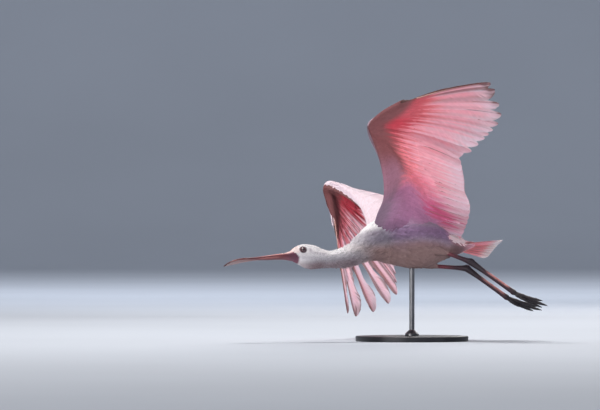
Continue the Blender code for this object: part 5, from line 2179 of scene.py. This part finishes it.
@dataclass
class Bill:
    """The long flat bill that widens into a spoon."""

    stations: tuple[tuple[float, float, float, float], ...] = (
        (300, -35, 13.0, 12.0),
        (308, -35.5, 11.5, 11.0),
        (322, -36.5, 9.0, 7.5),
        (340, -37.5, 7.6, 5.8),
        (366, -40, 7.0, 4.6),
        (394, -42.5, 8.0, 3.4),
        (414, -45, 12.0, 3.0),
        (431, -47.5, 19.0, 2.8),
        (447, -50.5, 22.5, 2.6),
        (461, -54, 21.0, 2.2),
        (471, -58, 15.0, 1.8),
        (476, -61.3, 8.0, 1.4),
        (477.6, -62.4, 2.6, 1.1),
    )
    rings: int = 130
    sides: int = 44

    def build(self) -> list[bpy.types.Object]:
        """Makes both halves and the nostrils."""
        made = []
        for name, upper in (("bill_upper", True), ("bill_lower", False)):
            half = loft(f"{name}_horn", self._rings(upper))
            colours = self._colours(coordinates(half.data), upper)
            piece = finished(half, BILL_FINISH, colours, crease=45)
            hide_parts(name)
            made.append(piece)
        return made

    def _rings(self, upper: bool) -> Array:
        """Sections of one half, from the face to the spoon's tip."""
        sign = 1.0 if upper else -1.0
        at = np.linspace(0, 1, self.rings) ** 0.9
        rows = Keyed({row[0]: row[1:] for row in self.stations})
        forward = 300 + 177.6 * at
        height, wide, thick = (v[:, None] for v in rows(forward).T)
        along = forward[:, None]
        angle = np.linspace(0, math.tau, self.sides, endpoint=False)[None, :]
        x = np.cos(angle)
        dome = np.abs(np.sin(angle)) ** 0.8
        outer = np.sin(angle) > 0
        spoon = fade(405, 440, along)
        edge = np.exp(-(((np.abs(x) - 0.9) / 0.07) ** 2))
        ridge = np.exp(-((x / 0.16) ** 2)) * (1 - fade(350, 420, along))
        groove = np.exp(-(((np.abs(x) - 0.52) / 0.1) ** 2)) * fade(308, 318, along)
        groove = groove * (1 - 0.6 * spoon)
        wrinkle = np.sin(along * 1.9 + 5 * x**2) * (1 - fade(330, 400, along)) * fade(306, 316, along)
        pits = np.sin(along * 2.6) * edge * spoon
        rise = dome * (thick + ridge * 0.7 - groove * 0.8 + wrinkle * 0.16) + edge * spoon * 0.35
        rise = rise + pits * 0.1
        mouth = 0.12 + 0.25 * edge * spoon - 0.5 * dome * spoon
        lift = np.where(outer, rise, np.minimum(mouth, 0.3)) + 0.25
        nostril = np.exp(-((along - 326) ** 2 / 18 + ((np.abs(x) - 0.4) / 0.12) ** 2))
        lift = lift - (1.6 * nostril * outer if upper else 0)
        points = np.stack([-along + 0 * lift, 0 * lift, height + 0 * lift], axis=-1)
        points = points + HEAD_ACROSS * (x * wide)[..., None]
        return (points + HEAD_UP * (sign * lift)[..., None]) * MM

    def _colours(self, points: Array, upper: bool) -> Array:
        """Salmon along the top, maroon below and at the root, a dark tip."""
        forward = -points[:, 0] / MM
        rows = Keyed({row[0]: row[1:3] for row in self.stations})
        middle = rows(forward)
        height = (points[:, 2] / MM - middle[:, 0]) * math.cos(HEAD_LEAN)
        across = np.abs(points[:, 1] / MM) / np.maximum(middle[:, 1], 1)
        salmon, maroon = linear(216, 140, 132), linear(122, 64, 70)
        spoon, dark = linear(138, 68, 64), linear(56, 36, 42)
        base = np.broadcast_to(maroon, points.shape).copy()
        if upper:
            top = fade(0.9, 2.6, height) * (1 - 0.4 * fade(0.75, 1.0, across))
            base = blend(base, salmon, top)
            pale = (1 - fade(322, 340, forward)) * fade(2.0, 5.0, height)
            base = blend(base, linear(230, 200, 194), 0.8 * pale)
        else:
            band = fade(330, 350, forward) * (1 - fade(380, 400, forward))
            base = blend(base, salmon, 0.55 * band * fade(0.4, 0.9, across))
        base = blend(base, spoon, fade(390, 425, forward) * 0.85)
        base = blend(base, dark, 0.8 * fade(456, 477, forward))
        purple = (1 - fade(304, 336, forward)) * (0.7 if not upper else 0.75 * (1 - top))
        base = blend(base, linear(100, 56, 78), purple)
        # Painted shade: the nostril slit coloured near black.
        nostril = np.exp(-((forward - 326) ** 2) / 14) * (np.abs(across - 0.4) < 0.12) * upper
        return blend(base, linear(30, 14, 18), 0.9 * nostril)


@dataclass
class Eyes:
    """Both eyes, dark with a black pupil."""

    radius: float = 6.2 * MM
    iris: Colour = linear(74, 22, 30)
    pupil: Colour = linear(8, 6, 8)

    def build(self) -> list[bpy.types.Object]:
        """Makes the left and the right eye."""
        return [self._eye("left", -1), self._eye("right", 1)]

    def _eye(self, name: str, side: int) -> bpy.types.Object:
        """One eye: a ball with a slight bulge over the pupil."""
        deselect()
        bpy.ops.mesh.primitive_uv_sphere_add(segments=64, ring_count=40, radius=self.radius)
        ball = bpy.context.object
        ball.name = f"{name}_eyeball"
        points = coordinates(ball.data)
        reach = np.linalg.norm(points[:, :2], axis=1) / self.radius
        front = points[:, 2] > 0
        bulge = 1 + 0.05 * np.where(front, 1 - fade(0.2, 0.75, reach), 0)
        ball.data.vertices.foreach_set("co", (points * bulge[:, None]).ravel())
        inner = np.where(front, 1 - fade(0.36, 0.42, reach), 0)
        outer = np.where(front, fade(0.78, 0.86, reach), 1)
        colours = blend(np.broadcast_to(self.iris, points.shape), self.pupil, inner)
        colours = blend(colours, linear(40, 18, 22), outer)
        turn = Vector(gaze(side)).to_track_quat("Z", "Y").to_matrix().to_4x4()
        ball.data.transform(Matrix.Translation(Vector(eye_centre(side))) @ turn)
        piece = finished(ball, EYE_FINISH, colours, crease=180)
        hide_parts(f"{name}_eye")
        return piece


@dataclass
class Leg:
    """One leg from the end of its feathers to its claws."""

    name: str
    shin_radii: tuple[float, ...] = (4.4, 5.0, 6.4, 8.4, 7.4, 6.6, 5.6, 5.5, 6.0, 6.6, 5.0, 2.0)
    toe_radii: tuple[float, ...] = (4.2, 4.0, 3.6, 3.0, 2.2, 1.5)
    toe_shares: tuple[float, ...] = (0.0, 0.3, 0.55, 0.8, 0.9, 0.94)
    toes: dict[str, tuple[float, float, float]] = field(
        default_factory=lambda: {
            "inner": (0.82, -0.14, 0.02),
            "middle": (1.0, 0.02, 0.03),
            "outer": (0.88, 0.17, 0.0),
            "hind": (0.46, -0.04, -0.20),
        }
    )

    def __post_init__(self) -> None:
        """Finds the joints."""
        leg = LEGS[self.name]
        self.side = leg["side"]
        self.end, self.ankle, self.foot, self.toe_tip = (
            level(*leg[key], self.side) for key in ("feather_end", "ankle", "foot", "toe_tip")
        )

    def build(self) -> list[bpy.types.Object]:
        """Makes the scaled leg with its toes, and the claws."""
        shank = loft(f"{self.name}_shank", self._shank())
        forms, claws = [shank], []
        start = self.foot + unit(self.foot - self.ankle) * 4 * MM
        ahead = unit(self.toe_tip - start)
        across = unit(np.cross(ahead, np.array([0, 0, 1.0]))) * self.side
        upward = unit(np.cross(across, ahead))
        upward = upward if upward[2] > 0 else -upward
        length = float(np.linalg.norm(self.toe_tip - start))
        for toe, (reach, spread, lift) in self.toes.items():
            tip = start + (ahead + across * spread + upward * lift) * length * reach
            path = [
                start * (1 - s) + tip * s - upward * 3 * MM * math.sin(math.pi * s)
                for s in self.toe_shares
            ]
            rings = self._padded(tube(path, self.toe_radii, 20, 80))
            forms.append(loft(f"{self.name}_{toe}", rings))
            claw = [path[-2], path[-1], tip * 0.5 + path[-1] * 0.5 + upward * 0.5 * MM, tip - upward * MM]
            claws.append(loft(f"{self.name}_{toe}_claw", tube(claw, (1.4, 1.5, 1.1, 0.25), 14, 18)))
        leg = joined(f"{self.name}_leg_scales", forms)
        piece = finished(leg, LEG_FINISH, self._colours(coordinates(leg.data)), crease=55)
        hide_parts(*(f"{self.name}_{part}" for part in ("shin", "tarsus", "foot")))
        tips = joined(f"{self.name}_claws", claws)
        return [piece, finished(tips, CLAW_FINISH, linear(34, 26, 30))]

    def _shank(self) -> Array:
        """Rings of the shin, ankle and tarsus, with plates across the front."""
        down = unit(self.ankle - self.end)
        along = unit(self.foot - self.ankle)
        path = [
            self.end - down * 10 * MM,
            self.end * 0.4 + self.ankle * 0.6,
            self.ankle - down * 9 * MM,
            self.ankle,
            self.ankle + along * 8 * MM,
            self.ankle + along * 18 * MM,
            self.ankle * 0.8 + self.foot * 0.2 + along * 12 * MM,
            self.ankle * 0.2 + self.foot * 0.8,
            self.foot - along * 3 * MM,
            self.foot + along * 4 * MM,
            self.foot + along * 9 * MM,
            self.foot + along * 13 * MM,
        ]
        rings = tube(path, self.shin_radii, 28, 260)
        middle = rings.mean(axis=1, keepdims=True)
        run = np.concatenate(
            [[0], np.cumsum(np.linalg.norm(np.diff(middle[:, 0], axis=0), axis=1))]
        )
        angle = np.linspace(0, math.tau, 28, endpoint=False)[None, :]
        front = fade(-0.1, 0.6, np.sin(angle))
        plate = (run[:, None] / (4.2 * MM)) % 1
        step = np.minimum(plate / 0.85, (1 - plate) / 0.15)
        swell = 1 + front * 0.055 * (step - 0.5)
        return middle + (rings - middle) * swell[..., None]

    def _padded(self, rings: Array) -> Array:
        """Gives a toe its joints and the plates over them."""
        middle = rings.mean(axis=1, keepdims=True)
        place = np.linspace(0, 1, len(rings))[:, None, None]
        joints = sum(np.exp(-(((place - at) / 0.05) ** 2)) for at in (0.34, 0.6, 0.82))
        angle = np.linspace(0, math.tau, rings.shape[1], endpoint=False)[None, :, None]
        plates = np.abs(np.sin(place * 46)) * fade(0, 0.6, np.sin(angle))
        return middle + (rings - middle) * (1 + 0.14 * joints + 0.06 * plates)

    def _colours(self, points: Array) -> Array:
        """Red-brown shin, salmon along the tarsus's upper side as painted light, and nearly black feet."""
        forward = -points[:, 0] / MM
        shin, black = linear(118, 50, 60), linear(36, 28, 34)
        maroon, salmon = linear(66, 36, 48), linear(214, 140, 136)
        base = np.broadcast_to(maroon, points.shape).copy()
        base = blend(base, shin, 1 - fade(68, 104, -forward))
        base = blend(base, linear(52, 38, 46), fade(104, 122, -forward) * (1 - fade(140, 156, -forward)))
        # Painted light: salmon along the side of the tarsus that faces up and out to the left, over the dark
        # maroon.
        axis = unit(self.foot - self.ankle)
        offset = points - self.ankle
        run = offset @ axis / MM
        off = offset - np.outer(offset @ axis, axis)
        upside = unit(off) @ unit(np.array([-0.2, -0.75, 0.62]))
        lit_stripe = fade(36, 54, run) * (1 - fade(98, 112, run)) * fade(0.3, 0.75, upside)
        base = blend(base, salmon, 0.9 * lit_stripe)
        return blend(base, black, fade(196, 214, -forward))


@dataclass
class DisplayStand:
    """A round weighted base, a collar and a short rod."""

    base_radius: float = 130 * MM
    base_height: float = 12 * MM
    rod_radius: float = 6 * MM
    collar_radius: float = 16 * MM
    collar_height: float = 14 * MM

    def build(self) -> list[bpy.types.Object]:
        """Makes the base and the rod with its collar."""
        edge, top = self.base_radius, self.base_height
        bevel = 2.5 * MM
        turn = np.linspace(0, math.pi / 2, 7)
        base = [(0.6 * edge, 0.0), (edge - bevel, 0.0), (edge - 0.6 * MM, 0.5 * MM)]
        base += [(edge - bevel * (1 - math.cos(t)), top - bevel * (1 - math.sin(t))) for t in turn]
        base += [(0.5 * edge, top)]
        foot = top + 0.3 * MM
        rod = [(0.6 * self.collar_radius, foot), (self.collar_radius - 0.6 * MM, foot)]
        rod += [(self.collar_radius, foot + 0.6 * MM), (self.collar_radius, foot + 5.0 * MM)]
        rod += [(self.collar_radius - 0.8 * MM, foot + 5.8 * MM)]
        rod += [(self.rod_radius + 1.6 * MM, foot + self.collar_height - 1.2 * MM)]
        rod += [(self.rod_radius + 0.6 * MM, foot + self.collar_height)]
        rod += [(self.rod_radius, foot + self.collar_height + 0.4 * MM)]
        rod += [(self.rod_radius, 179 * MM)]
        made = []
        for name, profile, finish in (
            ("stand_base", base, STAND_FINISH),
            ("stand_rod", rod, ROD_FINISH),
        ):
            turned = loft(f"{name}_turned", self._turned(profile, 96))
            piece = finished(turned, finish, (0.1, 0.1, 0.1), bank=False, crease=35)
            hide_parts(name)
            made.append(piece)
        return made

    def _turned(self, profile: list[tuple[float, float]], sides: int) -> Array:
        """Turns a profile of radii and heights about the upright."""
        angle = np.linspace(0, math.tau, sides, endpoint=False)
        return np.array(
            [
                np.stack([r * np.cos(angle), r * np.sin(angle), np.full(sides, z)], axis=-1)
                for r, z in profile
            ]
        )


@dataclass
class Studio:
    """Pale floor that curves up behind, soft lights, and the camera."""

    target: tuple[float, float, float] = (-0.2388, 0.0965, 0.3134)
    azimuth: float = math.radians(-22)
    distance: float = 14.0
    lens: float = 365.0

    def build(self) -> None:
        """Makes the floor, the lights and the camera."""
        self._floor()
        for name, place, size, power, colour in (
            ("top", (-0.9, 0.7, 4.6), 1.5, 250.0, (1.0, 0.98, 0.94)),
            ("front", (-5.4, -3.0, 0.5), 2.2, 130.0, (1.0, 0.97, 0.95)),
            ("side", (-1.5, -6.0, 2.2), 3.0, 18.0, (0.9, 0.95, 1.0)),
            ("back", (2.6, 3.2, 2.6), 2.2, 100.0, (1.0, 0.97, 0.94)),
        ):
            self._light(name, place, size, power, colour, self.target)
        self._light("wall", (1.9, 5.2, 5.6), 5.0, 620.0, (0.9, 0.94, 1.0), (5.4, 15.0, 1.0))
        near, far = Wing(**LEFT_WING), Wing(**RIGHT_WING)
        raised = near.under.point(np.array([13.0]), np.array([0.5]))
        lowered = far.under.point(np.array([5.0]), np.array([0.45]))
        fan = Tail().shaft(np.array([5.5]), np.array([0.6]))
        self._spot("near_wing", raised, (0.3, -0.93, -0.12), 330.0, 9.5)
        self._spot("far_wing", lowered, (-0.9, -0.35, -0.03), 370.0, 9.0)
        self._spot("tail", fan, (0.35, -0.92, 0.0), 200.0, 4.0)
        world = bpy.data.worlds.new("studio_air")
        world.use_nodes = True
        world.node_tree.nodes["Background"].inputs["Color"].default_value = (0.66, 0.72, 0.84, 1)
        world.node_tree.nodes["Background"].inputs["Strength"].default_value = 0.3
        bpy.context.scene.world = world
        bpy.context.scene.view_settings.view_transform = "Standard"
        camera = bpy.data.cameras.new("camera")
        camera.lens = self.lens
        camera.sensor_width = 36.0
        camera.clip_end = 100.0
        made = bpy.data.objects.new("camera", camera)
        away = Vector((math.sin(self.azimuth), -math.cos(self.azimuth), 0))
        made.location = Vector(self.target) + away * self.distance
        made.rotation_euler = away.to_track_quat("Z", "Y").to_euler()
        bpy.context.scene.collection.objects.link(made)
        bpy.context.scene.camera = made

    def _floor(self) -> None:
        """A wide pale floor that curves up all round, far behind every view."""
        deselect()
        bpy.ops.mesh.primitive_circle_add(vertices=96, radius=16, fill_type="NGON")
        floor = bpy.context.object
        floor.name = "studio_floor"
        bpy.ops.object.mode_set(mode="EDIT")
        bpy.ops.mesh.select_all(action="SELECT")
        bpy.ops.mesh.region_to_loop()
        radius, bend, steps = 16.0, 5.0, 16
        for step in range(steps):
            one, two = (math.pi / 2 * (step + k) / steps for k in (0, 1))
            wide = [radius + bend * math.sin(turn) for turn in (one, two)]
            rise = bend * (math.cos(one) - math.cos(two))
            bpy.ops.mesh.extrude_region_move(TRANSFORM_OT_translate={"value": (0, 0, rise)})
            grow = wide[1] / wide[0]
            bpy.ops.transform.resize(value=(grow, grow, 1), center_override=(0, 0, 0))
        bpy.ops.object.mode_set(mode="OBJECT")
        mesh = floor.data
        mesh.polygons.foreach_set("use_smooth", np.ones(len(mesh.polygons), bool))
        mesh.materials.append(FLOOR_FINISH.material())
        mesh.update()

    def _spot(self, name: str, centre: Array, away: Array, power: float, angle: float) -> None:
        """Aims one soft spotlight at a place of the model.

        Args:
            name: The light's name.
            centre: The level place that it lights.
            away: Direction from that place to the light.
            power: Watts.
            angle: Width of the beam, in degrees.
        """
        middle = placed(centre)[0]
        place = middle + unit(np.array(away)) * 3.2
        light = bpy.data.lights.new(name, "SPOT")
        light.energy = power
        light.color = (1.0, 0.95, 0.93)
        light.spot_size = math.radians(angle)
        light.spot_blend = 1.0
        light.shadow_soft_size = 0.1
        made = bpy.data.objects.new(name, light)
        made.location = place
        aim = Vector(middle) - Vector(place)
        made.rotation_euler = aim.to_track_quat("-Z", "Y").to_euler()
        made.visible_camera = False
        bpy.context.scene.collection.objects.link(made)

    def _light(
        self,
        name: str,
        place: tuple[float, float, float],
        size: float,
        power: float,
        colour: Colour,
        target: tuple[float, float, float],
    ) -> None:
        """Hangs one soft light that faces the target."""
        light = bpy.data.lights.new(name, "AREA")
        light.shape = "DISK"
        light.size = size
        light.energy = power
        light.color = colour
        made = bpy.data.objects.new(name, light)
        made.location = place
        aim = Vector(target) - Vector(place)
        made.rotation_euler = aim.to_track_quat("-Z", "Y").to_euler()
        made.visible_camera = False
        bpy.context.scene.collection.objects.link(made)


SLOTS = (
    ("bill", Slot.BILL),
    ("eyeball", Slot.EYE),
    ("leg_scales", Slot.LEG),
    ("claws", Slot.LEG),
    ("stand", Slot.STAND),
    ("tail", Slot.PINK),
    ("wing", Slot.PINK),
    ("axillaries", Slot.PINK),
)


def slot_of(name: str) -> Slot:
    """The material slot listed for a piece of that name."""
    return next((slot for part, slot in SLOTS if part in name), Slot.WHITE)


def main() -> None:
    """Builds everything in order and reports each piece."""
    logging.basicConfig(level=logging.INFO, format="%(message)s")
    pieces: list[bpy.types.Object] = []
    wings = [Wing(**LEFT_WING), Wing(**RIGHT_WING)]
    body = Body()
    skin = Skin(body, wings).build()
    pieces.append(skin)
    pieces += BodyPlumage(body, skin, 40).build()
    for number, wing in enumerate(wings):
        pieces += WingPlumage(wing, 100 + 50 * number).build()
        pieces.append(Axillaries(body, wing, 400 + number).build())
    pieces += TailPlumage(Tail(), 300).build()
    pieces += Bill().build()
    pieces += Eyes().build()
    for name in LEGS:
        pieces += Leg(name).build()
    pieces += DisplayStand().build()
    for piece in pieces:
        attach(piece, "root")
        slot_of(piece.name).value
        LOG.info("%s: %d faces", piece.name, len(piece.data.polygons))
    Studio().build()


if __name__ == "__main__":
    main()
